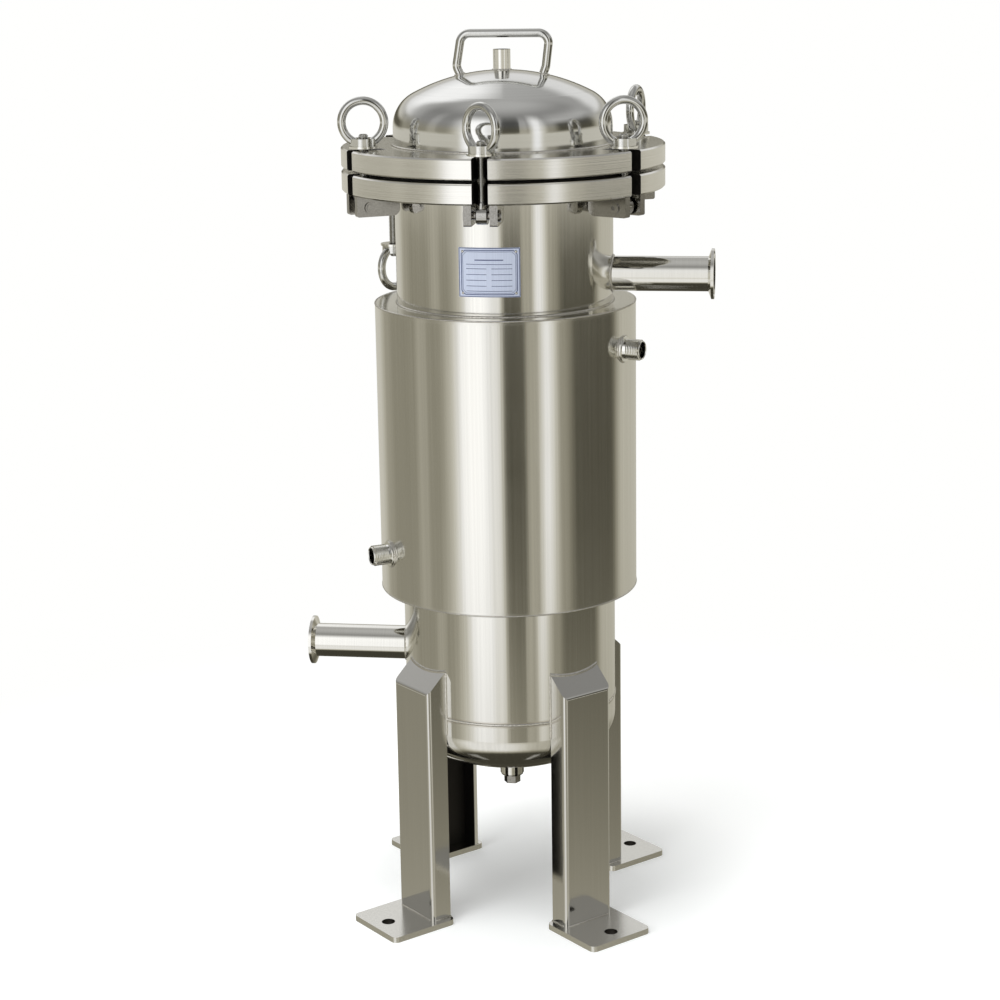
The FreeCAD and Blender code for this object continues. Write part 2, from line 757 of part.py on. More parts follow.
def rounded_path(points, radius):
    """Wire through the points with a tangent arc at each inner corner."""
    edges = []
    start = points[0]
    for before, corner, after in zip(points, points[1:], points[2:]):
        back = (before - corner).normalize()
        ahead = (after - corner).normalize()
        half_turn = math.acos(max(-1.0, min(1.0, back.dot(ahead)))) / 2
        reach = radius / math.tan(half_turn)
        enter = corner + back * reach
        leave = corner + ahead * reach
        inward = (back + ahead).normalize()
        middle = corner + inward * (radius / math.sin(half_turn) - radius)
        edges.append(Part.LineSegment(start, enter).toShape())
        edges.append(Part.Arc(enter, middle, leave).toShape())
        start = leave
    edges.append(Part.LineSegment(start, points[-1]).toShape())
    return Part.Wire(edges)


def bent_rod(path, diameter):
    first = path.Edges[0]
    start = first.valueAt(first.FirstParameter)
    profile = Part.Wire(Part.makeCircle(diameter / 2, start, first.tangentAt(first.FirstParameter)))
    return path.makePipeShell([profile], True, True)


def make_handle():
    """Bent rod over the lid with its feet coped to the dome."""
    apex = measure(LID_TOP_Z) + size("dome_straight") + size("head_depth")
    half = size("handle_width") / 2
    skew = size("handle_skew")
    elbow_z = apex + size("handle_elbow_rise")
    foot_z = elbow_z - size("handle_foot_drop")
    top_z = apex + size("handle_rise")
    foot_x = half - size("handle_foot_inset")
    path = rounded_path([
        Vector(-foot_x, 0, foot_z),
        Vector(-half - size("handle_elbow_out"), 0, elbow_z),
        Vector(-half + skew, 0, top_z),
        Vector(half + skew, 0, top_z),
        Vector(half, 0, elbow_z),
        Vector(foot_x, 0, foot_z),
    ], size("handle_bend"))
    doc.recompute()
    rod = doc.addObject("Part::Feature", "HandleRod")
    rod.Shape = bent_rod(path, size("handle_rod"))
    keep(cut(rod, head("0", "dome_straight", LID_TOP_Z, True)), "lid_handle")


def make_nameplate():
    """Thin plate curved to the shell; its face is left bare."""
    body = new_body("nameplate")
    sketch = new_sketch(body, "XZ_Plane")
    middle = BODY_FLANGE_Z + " - nameplate_drop"
    low = middle + " - nameplate_height/2"
    high = middle + " + nameplate_height/2"
    outer = "shell_od/2 + nameplate_thick"
    draw_polygon(sketch, [("shell_od/2", low), (outer, low), (outer, high), ("shell_od/2", high)])
    turned = body.newObject("PartDesign::Revolution", "Revolution")
    turned.Profile = sketch
    turned.ReferenceAxis = (sketch, ["V_Axis"])
    turned.Midplane = True
    bind(turned, Angle="nameplate_width/(shell_od/2)*180/pi")
    keep(body, "nameplate", at_angle(0))


def make_drain():
    """Threaded socket under the bottom head with a hexagon plug and its seal."""
    apex = "(shell_bottom_z - bottom_straight - head_depth)"
    outer = cylinder("drain_od/2", "drain_length + head_depth", base_z=apex + " - drain_length")
    bore = cylinder("drain_thread/2", "drain_length + head_depth", base_z=apex + " - drain_length")
    socket = cut(cut(outer, bore), head("0", "bottom_straight", "shell_bottom_z", False))
    vessel = cylinder("shell_od/2", "shell_length", base_z="shell_bottom_z - bottom_straight")
    keep(cut(socket, vessel), "drain_socket")
    seat = apex + " - drain_length"
    ring_body("drain_seal", "drain_thread/2 + drain_thread_gap", "drain_seal_od/2",
              seat + " - drain_seal_thick", seat)
    plug_head = hexagon("plug_flats", "plug_head")
    plug_head.setExpression("Placement.Base.z", bound(seat + " - drain_seal_thick - plug_head"))
    shank = cylinder("drain_thread/2 - drain_thread_gap", "plug_shank + drain_seal_thick",
                     base_z=seat + " - drain_seal_thick")
    keep(fuse(plug_head, shank), "drain_plug")


def make_basket():
    """Perforated cup hung from a rim that rests on the seat ring."""
    ring_body("basket_seat_ring", SEAT_R, SHELL_BORE_R, SEAT_Z + " - seat_thick", SEAT_Z)
    body = new_body("basket")
    outer = BASKET_R
    inner = BASKET_R + " - basket_wall"
    floor = SEAT_Z + " - basket_length"
    revolve(body, [
        ("0", floor),
        (outer, floor),
        (outer, SEAT_Z),
        (inner, SEAT_Z),
        (inner, floor + " + basket_wall"),
        ("0", floor + " + basket_wall"),
    ])
    doc.recompute()
    sketch = new_sketch(body, "XZ_Plane")
    for row in range(BASKET_ROWS):
        height = "%s + basket_first_hole + %d*basket_hole_pitch" % (floor, row)
        draw_circle(sketch, "0", height, "basket_hole")
    holes = body.newObject("PartDesign::Pocket", "Holes")
    holes.Profile = sketch
    holes.Type = 1
    pattern = body.newObject("PartDesign::PolarPattern", "HolePattern")
    pattern.Originals = [holes]
    pattern.Axis = (origin_plane(body, "Z_Axis"), [""])
    pattern.Angle = 360
    pattern.Occurrences = BASKET_COLUMNS
    body.Tip = pattern
    keep(body, "basket")


def make_basket_rim():
    """Rim ring with two lugs that carry the bail."""
    rim = new_body("rim")
    top = SEAT_Z + " + basket_rim_thick"
    inner = BASKET_R + " - basket_wall"
    revolve(rim, [
        (inner, SEAT_Z),
        (RIM_R, SEAT_Z),
        (RIM_R, top),
        (inner, top),
    ])
    lugged = rim
    for side in (-1, 1):
        lug = new_body("lug")
        near = "%d*%s" % (side, LUG_R)
        far = "%d*(%s + lug_thick)" % (side, LUG_R)
        pad(lug, "XZ_Plane", [
            (near, top),
            (far, top),
            (far, top + " + bail_rise + lug_above_pin"),
            (near, top + " + bail_rise + lug_above_pin"),
        ], "lug_width", midplane=True)
        lugged = fuse(lugged, lug)
    hole = cylinder("bail_rod/2 + running_gap", "2*" + RIM_R, axis=Vector(1, 0, 0),
                    base_z=top + " + bail_rise")
    hole.setExpression("Placement.Base.x", bound("-" + RIM_R))
    keep(cut(lugged, hole), "basket_rim")


def make_bail():
    """Half-round bail lying folded on the basket, with its ends turned out into the lugs."""
    height = measure(SEAT_Z + " + basket_rim_thick + bail_rise")
    radius = measure(LUG_R) - size("bail_inset")
    bend = size("bail_bend")
    end = measure(LUG_R) + size("lug_thick")
    inside_bend = bend * (1 - math.sqrt(0.5))

    def point(across, forward):
        return Vector(across, -forward, height)

    def end_bend(side):
        outer = point(side * (radius + bend), 0)
        middle = point(side * (radius + inside_bend), inside_bend)
        inner = point(side * radius, bend)
        return outer, middle, inner

    left = end_bend(-1)
    right = end_bend(1)
    path = Part.Wire([
        Part.LineSegment(point(-end, 0), left[0]).toShape(),
        Part.Arc(*left).toShape(),
        Part.Arc(left[2], point(0, radius + bend), right[2]).toShape(),
        Part.Arc(*reversed(right)).toShape(),
        Part.LineSegment(right[0], point(end, 0)).toShape(),
    ])
    made = doc.addObject("Part::Feature", "basket_bail")
    made.Shape = bent_rod(path, size("bail_rod"))
    keep(made, "basket_bail")


def make_bag():
    """Filter bag as a thin cup inside the basket, under its own snap ring."""
    top = SEAT_Z + " + basket_rim_thick"
    outer = BASKET_R + " - basket_wall - bag_gap"
    inner = outer + " - bag_wall"
    floor = SEAT_Z + " - basket_length + basket_wall + bag_bottom_gap"
    body = new_body("filter_bag")
    revolve(body, [
        ("0", floor),
        (outer, floor),
        (outer, top),
        (inner, top),
        (inner, floor + " + bag_wall"),
        ("0", floor + " + bag_wall"),
    ])
    keep(body, "filter_bag")
    ring_body("bag_ring", inner, RIM_R + " - bag_ring_inset", top, top + " + bag_ring_thick")


def check_and_write():
    doc.recompute()
    for item in doc.Objects:
        if "Invalid" in item.State or "Error" in item.State:
            raise RuntimeError("%s is %s" % (item.Label, item.State))
    os.makedirs(OUT_FOLDER, exist_ok=True)
    for feature in sub_parts:
        if feature.Shape.isNull() or not feature.Shape.isValid():
            raise RuntimeError("%s has no valid shape" % feature.Label)
        feature.Shape.exportStep(os.path.join(OUT_FOLDER, feature.Label + ".step"))


def main():
    fill_sheet()
    make_shell()
    make_bottom_head()
    make_slotted_flange("body_flange", BODY_FLANGE_Z)
    make_nozzles()
    make_jacket()
    make_nipple("upper_jacket_nipple", UPPER_NIPPLE_ANGLE, UPPER_NIPPLE_Z)
    make_nipple("lower_jacket_nipple", LOWER_NIPPLE_ANGLE, LOWER_NIPPLE_Z)
    for number, azimuth in enumerate(LEG_ANGLES, start=1):
        make_leg(number, azimuth)
        make_foot_plate(number, azimuth)
    make_ears()
    make_pivots()
    make_nameplate()
    make_drain()
    ring_body("gasket", SHELL_BORE_R + " + gasket_bore_gap", BOLT_R + " - gasket_inset",
              BODY_FLANGE_Z + " + flange_thick", LID_FLANGE_Z)
    make_slotted_flange("lid_flange", LID_FLANGE_Z)
    make_dome()
    make_handle()
    make_basket()
    make_basket_rim()
    make_bail()
    make_bag()
    for number, azimuth in enumerate(BOLT_ANGLES, start=1):
        make_swing_bolt(number, azimuth)
        make_washer(number, azimuth)
        make_eye_nut(number, azimuth)
    check_and_write()


main()
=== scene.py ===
"""Looks of the jacketed bag filter housing: finishes, welds, threads, nameplate, bag and studio."""
import math

import bmesh
import bpy
from mathutils import Matrix, Vector, noise


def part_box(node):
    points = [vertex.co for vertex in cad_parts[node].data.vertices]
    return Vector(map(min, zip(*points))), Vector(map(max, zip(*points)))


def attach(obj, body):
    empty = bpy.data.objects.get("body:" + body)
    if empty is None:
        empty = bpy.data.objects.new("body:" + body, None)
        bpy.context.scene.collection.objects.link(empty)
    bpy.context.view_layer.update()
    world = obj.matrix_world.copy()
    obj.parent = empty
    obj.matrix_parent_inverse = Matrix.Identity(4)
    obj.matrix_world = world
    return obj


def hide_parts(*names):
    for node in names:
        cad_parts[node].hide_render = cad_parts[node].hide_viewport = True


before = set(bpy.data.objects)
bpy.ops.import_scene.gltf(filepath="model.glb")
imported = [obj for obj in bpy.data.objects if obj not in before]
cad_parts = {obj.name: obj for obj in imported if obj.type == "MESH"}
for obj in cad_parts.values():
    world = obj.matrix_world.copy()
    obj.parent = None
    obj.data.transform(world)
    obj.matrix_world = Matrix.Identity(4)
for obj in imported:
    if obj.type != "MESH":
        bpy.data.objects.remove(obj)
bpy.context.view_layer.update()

scene = bpy.context.scene
scene.view_settings.view_transform = "Standard"

# Sizes, in metres

X, Y, Z = 0, 1, 2


def lowest(node, axis):
    return round(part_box(node)[0][axis], 6)


def highest(node, axis):
    return round(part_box(node)[1][axis], 6)


def middle(node, axis):
    return round((lowest(node, axis) + highest(node, axis)) / 2, 6)


SHELL_R = highest("shell", X)
JACKET_R = highest("jacket_shell", X)
JACKET_TOP, JACKET_BOTTOM = highest("jacket_top_ring", Z), lowest("jacket_bottom_ring", Z)
BODY_FLANGE_Z = lowest("body_flange", Z)
LID_TOP = highest("lid_flange", Z)
LID_APEX = 0.86775
BOTTOM_SEAM = lowest("shell", Z)
BOTTOM_APEX = 0.14825
BOLT_CIRCLE = -middle("washer_1", Y)
PIVOT_Z = middle("pivot_pins", Z)
BOLT_AZIMUTHS = (0, 60, 120, 180, 240, 300)
OPEN_BOLT = 5
EAR_ASIDE, EAR_HALF = 0.0125, 0.00375
LEG_AZIMUTHS = (45, 135, 225, 315)
LEG_HALF, LEG_BACK, LEG_FACE = 0.030, 0.1053, 0.128
FOOT_TOP = highest("foot_plate_1", Z)
HOLE_PLACE, HOLE_R = 0.11526, 0.0065
CAP_SLOPE = 22 / 24
CAP_LEVEL = 0.2688 + SHELL_R * CAP_SLOPE
INLET_Z, OUTLET_Z = middle("inlet_ferrule", Z), middle("outlet_ferrule", Z)
PIPE_R = highest("inlet_pipe", Y)
NIPPLE_AZIMUTHS = {"upper_jacket_nipple": 70, "lower_jacket_nipple": -58}
PLATE_R = -lowest("nameplate", Y)
PLATE_Z = middle("nameplate", Z)

# Camera

CAMERA_TURN = math.radians(8.0)
CAMERA_DISTANCE = 2.2889
CAMERA_HEIGHT = 1.00854
CAMERA_PITCH = math.radians(12.975)
CAMERA_ROLL = math.radians(-0.85)
CAMERA_SENSOR, CAMERA_LENS = 36.0, 82.265
CAMERA_SHIFT = (-0.00753, -0.05)


def make_camera():
    data = bpy.data.cameras.new("camera")
    data.sensor_width = CAMERA_SENSOR
    data.lens = CAMERA_LENS
    data.shift_x, data.shift_y = CAMERA_SHIFT
    data.clip_start = 0.05
    data.clip_end = 50.0
    camera = bpy.data.objects.new("camera", data)
    scene.collection.objects.link(camera)
    turn = CAMERA_TURN
    forward = Vector((-math.sin(turn) * math.cos(CAMERA_PITCH),
                      math.cos(turn) * math.cos(CAMERA_PITCH),
                      -math.sin(CAMERA_PITCH)))
    level_right = Vector((math.cos(turn), math.sin(turn), 0.0))
    level_up = level_right.cross(forward)
    right = math.cos(CAMERA_ROLL) * level_right + math.sin(CAMERA_ROLL) * level_up
    up = math.cos(CAMERA_ROLL) * level_up - math.sin(CAMERA_ROLL) * level_right
    place = Matrix((right, up, -forward)).transposed().to_4x4()
    place.translation = Vector((CAMERA_DISTANCE * math.sin(turn),
                                -CAMERA_DISTANCE * math.cos(turn), CAMERA_HEIGHT))
    camera.matrix_world = place
    scene.camera = camera


FALLING = (1.0, 0.0)


class Nodes:
    """Short calls for building a node tree."""

    def __init__(self, tree):
        self.tree = tree
        tree.nodes.clear()

    def add(self, kind, **settings):
        node = self.tree.nodes.new(kind)
        for name, value in settings.items():
            setattr(node, name, value)
        return node

    def link(self, source, target):
        self.tree.links.new(source, target)

    def feed(self, socket, value):
        if isinstance(value, tuple):
            socket.default_value = (*value, 1.0)
        elif isinstance(value, (int, float)):
            socket.default_value = value
        elif value is not None:
            self.link(value, socket)

    def math(self, operation, first, second=None, third=None, clamp=False):
        node = self.add("ShaderNodeMath", operation=operation, use_clamp=clamp)
        for socket, value in zip(node.inputs, (first, second, third)):
            self.feed(socket, value)
        return node.outputs[0]

    def times(self, first, second):
        return self.math("MULTIPLY", first, second)

    def length(self, first, second):
        """Length of a flat vector from its two parts."""
        return self.math("SQRT", self.math("ADD", self.times(first, first), self.times(second, second)))

    def split(self, vector):
        node = self.add("ShaderNodeSeparateXYZ")
        self.link(vector, node.inputs[0])
        return node.outputs

    def rise(self, value, start, end, low=0.0, high=1.0):
        """Soft step of a value from low to high."""
        node = self.add("ShaderNodeMapRange", interpolation_type="SMOOTHSTEP")
        self.feed(node.inputs[0], value)
        for index, number in enumerate((start, end, low, high), start=1):
            node.inputs[index].default_value = number
        return node.outputs[0]

    def window(self, value, a, b, c, d):
        """One between b and c, falling softly to zero at a and d."""
        return self.times(self.rise(value, a, b), self.rise(value, c, d, *FALLING))

    def level(self, below, strength, mask):
        """Blend a number towards a strength by a mask."""
        node = self.add("ShaderNodeMix", data_type="FLOAT")
        for index, value in ((0, mask), (2, below), (3, strength)):
            self.feed(node.inputs[index], value)
        return node.outputs[0]

    def ramp(self, factor, stops):
        node = self.add("ShaderNodeValToRGB")
        elements = node.color_ramp.elements
        while len(elements) < len(stops):
            elements.new(0.5)
        for element, (position, colour) in zip(elements, stops):
            element.position = position
            element.color = (*colour, 1.0)
        self.link(factor, node.inputs[0])
        return node.outputs[0]

    def mix(self, factor, first, second):
        node = self.add("ShaderNodeMix", data_type="RGBA")
        for socket, value in ((node.inputs[0], factor), (node.inputs[6], first),
                              (node.inputs[7], second)):
            self.feed(socket, value)
        return node.outputs[2]


# Studio

# Panels and dark flags round the object, each laid over the one before: strength, then the four
# bearings between which it fades in and out, in degrees from the camera, positive to the right.
STUDIO_WALLS = [
    (0.28, -136, -126, -6, 0),
    (0.40, -90, -82, -78, -70),
    (0.92, -64, -33, -8, -1),
    (1.26, -48, -34, -24, -12),
    (0.40, 16, 18, 24, 26),
    (0.30, 40, 44, 52, 64),
    (1.00, 22, 35, 36, 50),
    (0.52, 104, 122, 400, 401),
    (0.60, -401, -400, -150, -116),
]
WALL_BASE = 0.08

# Each zone over the walls has a brightness, and fades between bearings or heights in degrees, or
# between shares of the way towards the back.
LIT_STRIP, LIT_STRIP_HEIGHTS = 0.60, (-8, -6, -2, 3)
SIDE_WALL, SIDE_WALL_BEARINGS, SIDE_WALL_HEIGHTS = 0.48, (40, 60, 110, 140), (14, 30)
CEILING_HEIGHTS, CEILING_FADE = (26, 56), (40, 84, 0.24, 0.50)
BEHIND, BEHIND_RIGHT, BEHIND_SIDES = 0.46, 0.38, (0.0, 0.4)
BEHIND_SHARES, BEHIND_HEIGHTS = (0.12, 0.5), (6, 30)
BACK_PANEL, BACK_PANEL_SHARES, BACK_PANEL_HEIGHTS = 0.80, (0.4, 0.7), (15, 22, 32, 44)
DARK_LINE, DARK_LINE_SHARES, DARK_LINE_HEIGHTS = 0.10, (0.5, 0.8), (-4, 0, 4, 10)
LAMP, LAMP_BEARINGS, LAMP_HEIGHTS = 1.1, (-186, -168, -150, -126), (16, 36, 46, 66)
FLOOR, BRIGHT_FLOOR, BRIGHT_FLOOR_BEARINGS = 0.42, 0.80, (-75, -45, -15, 35)
FLOOR_FADE, FLOOR_HEIGHTS = (-28, -21, 1.15, 0.80), (-29, -13)
UNDER, UNDER_HEIGHTS = 0.05, (-60, -44)
FAR_FLOOR_SHARES, FAR_FLOOR_HEIGHTS = (0.3, 0.6), (-32, -20)
WARM_RED, WARM_BLUE, WARM_HEIGHTS = 0.08, -0.30, (0.05, 0.45, 1.0, 0.12)


def studio_brightness(nodes, right, back, up):
    """Brightness of the studio in a direction, from its walls up and then down."""
    bearing = nodes.math("DEGREES", nodes.math("ARCTAN2", right, nodes.times(back, -1.0)))
    height = nodes.math("DEGREES", nodes.math("ARCSINE", up))
    seen = WALL_BASE
    for strength, *edges in STUDIO_WALLS:
        seen = nodes.level(seen, strength, nodes.window(bearing, *edges))
    lit_strip = nodes.times(nodes.window(height, *LIT_STRIP_HEIGHTS), LIT_STRIP)
    seen = nodes.math("MAXIMUM", seen, lit_strip)
    side_wall = nodes.times(nodes.window(bearing, *SIDE_WALL_BEARINGS),
                            nodes.rise(height, *SIDE_WALL_HEIGHTS))
    seen = nodes.level(seen, SIDE_WALL, side_wall)
    seen = nodes.level(seen, nodes.rise(height, *CEILING_FADE), nodes.rise(height, *CEILING_HEIGHTS))
    behind = nodes.level(BEHIND, BEHIND_RIGHT, nodes.rise(right, *BEHIND_SIDES))
    seen = nodes.level(seen, behind, nodes.times(nodes.rise(back, *BEHIND_SHARES),
                                                 nodes.rise(height, *BEHIND_HEIGHTS)))
    back_panel = nodes.times(nodes.rise(back, *BACK_PANEL_SHARES),
                             nodes.window(height, *BACK_PANEL_HEIGHTS))
    seen = nodes.level(seen, BACK_PANEL, back_panel)
    dark_line = nodes.times(nodes.rise(back, *DARK_LINE_SHARES),
                            nodes.window(height, *DARK_LINE_HEIGHTS))
    seen = nodes.level(seen, DARK_LINE, dark_line)
    lamp = nodes.times(nodes.window(bearing, *LAMP_BEARINGS), nodes.window(height, *LAMP_HEIGHTS))
    seen = nodes.level(seen, LAMP, lamp)
    floor = nodes.level(FLOOR, BRIGHT_FLOOR, nodes.window(bearing, *BRIGHT_FLOOR_BEARINGS))
    floor = nodes.times(floor, nodes.rise(height, *FLOOR_FADE))
    seen = nodes.level(seen, floor, nodes.rise(height, *FLOOR_HEIGHTS, *FALLING))
    far_floor = nodes.times(nodes.rise(back, *FAR_FLOOR_SHARES),
                            nodes.rise(height, *FAR_FLOOR_HEIGHTS, *FALLING))
    under = nodes.math("MAXIMUM", far_floor, nodes.rise(height, *UNDER_HEIGHTS, *FALLING))
    return nodes.level(seen, UNDER, under)


PAPER_WHITE = (1.0, 1.0, 0.99)
FLOOR_COLOUR, FLOOR_SIZE = (0.79, 0.81, 0.815), 6.0
# Distances from the middle, in metres, over which the floor's own glow rises from a dimmer, painted shade
# near the object, and over which its shadows fade.
FLOOR_GLOW_AND_PAINTED_SHADE, FLOOR_EDGE = (0.13, 0.32, 0.26, 0.50), (0.35, 0.95)


def make_studio():
    """Bright walls and dark flags for the metal, and plain white for the camera."""
    world = bpy.data.worlds.new("studio")
    scene.world = world
    world.use_nodes = True
    nodes = Nodes(world.node_tree)
    coordinates = nodes.add("ShaderNodeTexCoord").outputs["Generated"]
    turned = nodes.add("ShaderNodeMapping", vector_type="POINT")
    turned.inputs["Rotation"].default_value = (0, 0, -CAMERA_TURN)
    nodes.link(coordinates, turned.inputs["Vector"])
    right, back, up = nodes.split(turned.outputs["Vector"])
    strength = studio_brightness(nodes, right, back, up)
    warm = nodes.times(nodes.math("SUBTRACT", 1.0, strength, clamp=True), nodes.rise(up, *WARM_HEIGHTS))
    colour = nodes.add("ShaderNodeCombineColor")
    for socket, tint in zip(colour.inputs, (WARM_RED, 0.0, WARM_BLUE)):
        nodes.link(nodes.times(strength, nodes.math("MULTIPLY_ADD", warm, tint, 1.0)), socket)
    path = nodes.add("ShaderNodeLightPath")
    seen = nodes.mix(path.outputs["Is Camera Ray"], colour.outputs[0], PAPER_WHITE)
    background = nodes.add("ShaderNodeBackground")
    nodes.link(seen, background.inputs["Color"])
    output = nodes.add("ShaderNodeOutputWorld")
    nodes.link(background.outputs[0], output.inputs[0])


def make_lamp(name, place, target, size, energy):
    """Soft panel that lights and shades, and leaves the reflections to the studio's walls."""
    data = bpy.data.lights.new(name, "AREA")
    data.shape = "SQUARE"
    data.size = size
    data.energy = energy
    lamp = bpy.data.objects.new(name, data)
    lamp.location = place
    lamp.rotation_mode = "QUATERNION"
    lamp.rotation_quaternion = (Vector(target) - Vector(place)).to_track_quat("-Z", "Y")
    lamp.visible_glossy = False
    scene.collection.objects.link(lamp)


def make_floor():
    """White floor that keeps the object's shadow and fades into the white background."""
    mesh = bpy.data.meshes.new("floor")
    build = bmesh.new()
    bmesh.ops.create_grid(build, x_segments=1, y_segments=1, size=FLOOR_SIZE)
    build.to_mesh(mesh)
    build.free()
    floor = bpy.data.objects.new("floor", mesh)
    scene.collection.objects.link(floor)
    material = bpy.data.materials.new("studio_floor")
    material.use_nodes = True
    nodes = Nodes(material.node_tree)
    place = nodes.split(nodes.add("ShaderNodeTexCoord").outputs["Object"])
    distance = nodes.length(place[X], place[Y])
    matt = nodes.add("ShaderNodeBsdfDiffuse")
    nodes.feed(matt.inputs["Color"], FLOOR_COLOUR)
    glow = nodes.add("ShaderNodeEmission")
    nodes.feed(glow.inputs["Color"], PAPER_WHITE)
    # The glow is weaker near the object, which paints shade on to the floor round it.
    nodes.link(nodes.rise(distance, *FLOOR_GLOW_AND_PAINTED_SHADE), glow.inputs["Strength"])
    near = nodes.add("ShaderNodeAddShader")
    nodes.link(matt.outputs[0], near.inputs[0])
    nodes.link(glow.outputs[0], near.inputs[1])
    white = nodes.add("ShaderNodeEmission")
    nodes.feed(white.inputs["Color"], PAPER_WHITE)
    faded = nodes.add("ShaderNodeMixShader")
    nodes.link(nodes.rise(distance, *FLOOR_EDGE), faded.inputs[0])
    nodes.link(near.outputs[0], faded.inputs[1])
    nodes.link(white.outputs[0], faded.inputs[2])
    clear = nodes.add("ShaderNodeBsdfTransparent")
    chosen = nodes.add("ShaderNodeMixShader")
    path = nodes.add("ShaderNodeLightPath")
    nodes.link(path.outputs["Is Glossy Ray"], chosen.inputs[0])
    nodes.link(faded.outputs[0], chosen.inputs[1])
    nodes.link(clear.outputs[0], chosen.inputs[2])
    output = nodes.add("ShaderNodeOutputMaterial")
    nodes.link(chosen.outputs[0], output.inputs[0])
    mesh.materials.append(material)


make_camera()
make_studio()
make_floor()
make_lamp("overhead_panel", place=(-0.5, -0.6, 2.4), target=(0, 0, 0.3), size=1.4, energy=34.0)
make_lamp("front_panel", place=(-1.6, -2.2, 1.4), target=(0, 0, 0.5), size=1.2, energy=22.0)

# Shared effects

VECTOR_INPUT = ("Vector", "NodeSocketVector", None)
LINE_INPUTS = [VECTOR_INPUT, ("Fineness", "NodeSocketFloat", 900.0), ("Length", "NodeSocketFloat", 14.0)]
LINE_OUTPUT, MASK_OUTPUT = [("Lines", "NodeSocketFloat")], [("Mask", "NodeSocketFloat")]
LINE_DETAIL = 3.0
SPECK_FINENESS = 18.0
# Each painted-shade mask's edge fades between two places, in metres: just outside a slot's wall and
# before its root, inside a leg's folds, and round a bolt hole.
SLOT_SIDE, SLOT_ROOT = (0.0076, 0.0079), (0.124, 0.128)
CHANNEL_FACE, CHANNEL_SIDE = (0.1242, 0.1247), (0.0262, 0.0267)
CHANNEL_TOP = (CAP_LEVEL - 0.0025, CAP_LEVEL - 0.0015)
HOLE_EDGE = (HOLE_R + 0.0002, HOLE_R + 0.0006)


def new_group(name, inputs, outputs):
    group = bpy.data.node_groups.new(name, "ShaderNodeTree")
    nodes = Nodes(group)
    for label, kind, value in inputs:
        socket = group.interface.new_socket(name=label, in_out="INPUT", socket_type=kind)
        if value is not None:
            socket.default_value = value
    for label, kind in outputs:
        group.interface.new_socket(name=label, in_out="OUTPUT", socket_type=kind)
    return group, nodes, nodes.add("NodeGroupInput"), nodes.add("NodeGroupOutput")


def stretched_noise(nodes, x, y, z, detail):
    vector = nodes.add("ShaderNodeCombineXYZ")
    for socket, value in zip(vector.inputs, (x, y, z)):
        nodes.link(value, socket)
    grain = nodes.add("ShaderNodeTexNoise", noise_dimensions="3D")
    grain.inputs["Scale"].default_value = 1.0
    grain.inputs["Detail"].default_value = detail
    nodes.link(vector.outputs[0], grain.inputs["Vector"])
    return grain.outputs["Fac"]


def make_turned_group():
    """Fine lines that run round the piece's Z axis, as turning and belt polishing leave them."""
    group, nodes, given, out = new_group("turned_lines", LINE_INPUTS, LINE_OUTPUT)
    x, y, z = nodes.split(given.outputs["Vector"])
    radius = nodes.length(x, y)
    across = nodes.times(nodes.math("ADD", radius, z), given.outputs["Fineness"])
    lines = stretched_noise(nodes, across, nodes.times(x, given.outputs["Length"]),
                            nodes.times(y, given.outputs["Length"]), LINE_DETAIL)
    nodes.link(lines, out.inputs["Lines"])
    return group


def make_drawn_group():
    """Fine lines that run along the piece's Z axis, as on polished sheet."""
    group, nodes, given, out = new_group("drawn_lines", LINE_INPUTS, LINE_OUTPUT)
    x, y, z = nodes.split(given.outputs["Vector"])
    lines = stretched_noise(nodes, nodes.times(x, given.outputs["Fineness"]),
                            nodes.times(y, given.outputs["Fineness"]),
                            nodes.times(z, given.outputs["Length"]), LINE_DETAIL)
    nodes.link(lines, out.inputs["Lines"])
    return group


def make_handling_group():
    """Faint clouds of polish and fingermarks, and fine specks."""
    group, nodes, given, out = new_group(
        "handling_marks", [VECTOR_INPUT, ("Size", "NodeSocketFloat", 22.0)],
        [("Clouds", "NodeSocketFloat"), ("Specks", "NodeSocketFloat")])
    clouds = nodes.add("ShaderNodeTexNoise")
    clouds.inputs["Detail"].default_value = 4.0
    clouds.inputs["Roughness"].default_value = 0.6
    nodes.link(given.outputs["Vector"], clouds.inputs["Vector"])
    nodes.link(given.outputs["Size"], clouds.inputs["Scale"])
    fine = nodes.add("ShaderNodeTexNoise")
    fine.inputs["Detail"].default_value = 2.0
    nodes.link(given.outputs["Vector"], fine.inputs["Vector"])
    nodes.link(nodes.times(given.outputs["Size"], SPECK_FINENESS), fine.inputs["Scale"])
    nodes.link(clouds.outputs["Fac"], out.inputs["Clouds"])
    nodes.link(fine.outputs["Fac"], out.inputs["Specks"])
    return group


def make_slot_group():
    """Mask of painted shade on a flange's slot walls, one every sixty degrees from the front."""
    group, nodes, given, out = new_group("slot_painted_shade", [VECTOR_INPUT], MASK_OUTPUT)
    place = nodes.split(given.outputs["Vector"])
    radius = nodes.length(place[X], place[Y])
    azimuth = nodes.math("ARCTAN2", place[X], nodes.times(place[Y], -1.0))
    sector = nodes.math("PINGPONG", azimuth, math.pi / len(BOLT_AZIMUTHS))
    aside = nodes.times(radius, nodes.math("SINE", sector))
    inside = nodes.times(nodes.rise(aside, *SLOT_SIDE, *FALLING), nodes.rise(radius, *SLOT_ROOT))
    nodes.link(inside, out.inputs["Mask"])
    return group


def make_seam_group():
    """Mask of the heat-tinted, hand-dressed zone at given levels along Z."""
    group, nodes, given, out = new_group(
        "dressed_seam", [VECTOR_INPUT, ("Level", "NodeSocketFloat", 0.0),
                         ("Width", "NodeSocketFloat", 0.004)], MASK_OUTPUT)
    place = nodes.split(given.outputs["Vector"])
    away = nodes.math("ABSOLUTE", nodes.math("SUBTRACT", place[Z], given.outputs["Level"]))
    share = nodes.math("DIVIDE", away, given.outputs["Width"])
    nodes.link(nodes.rise(share, 0.4, 1.0, *FALLING), out.inputs["Mask"])
    return group


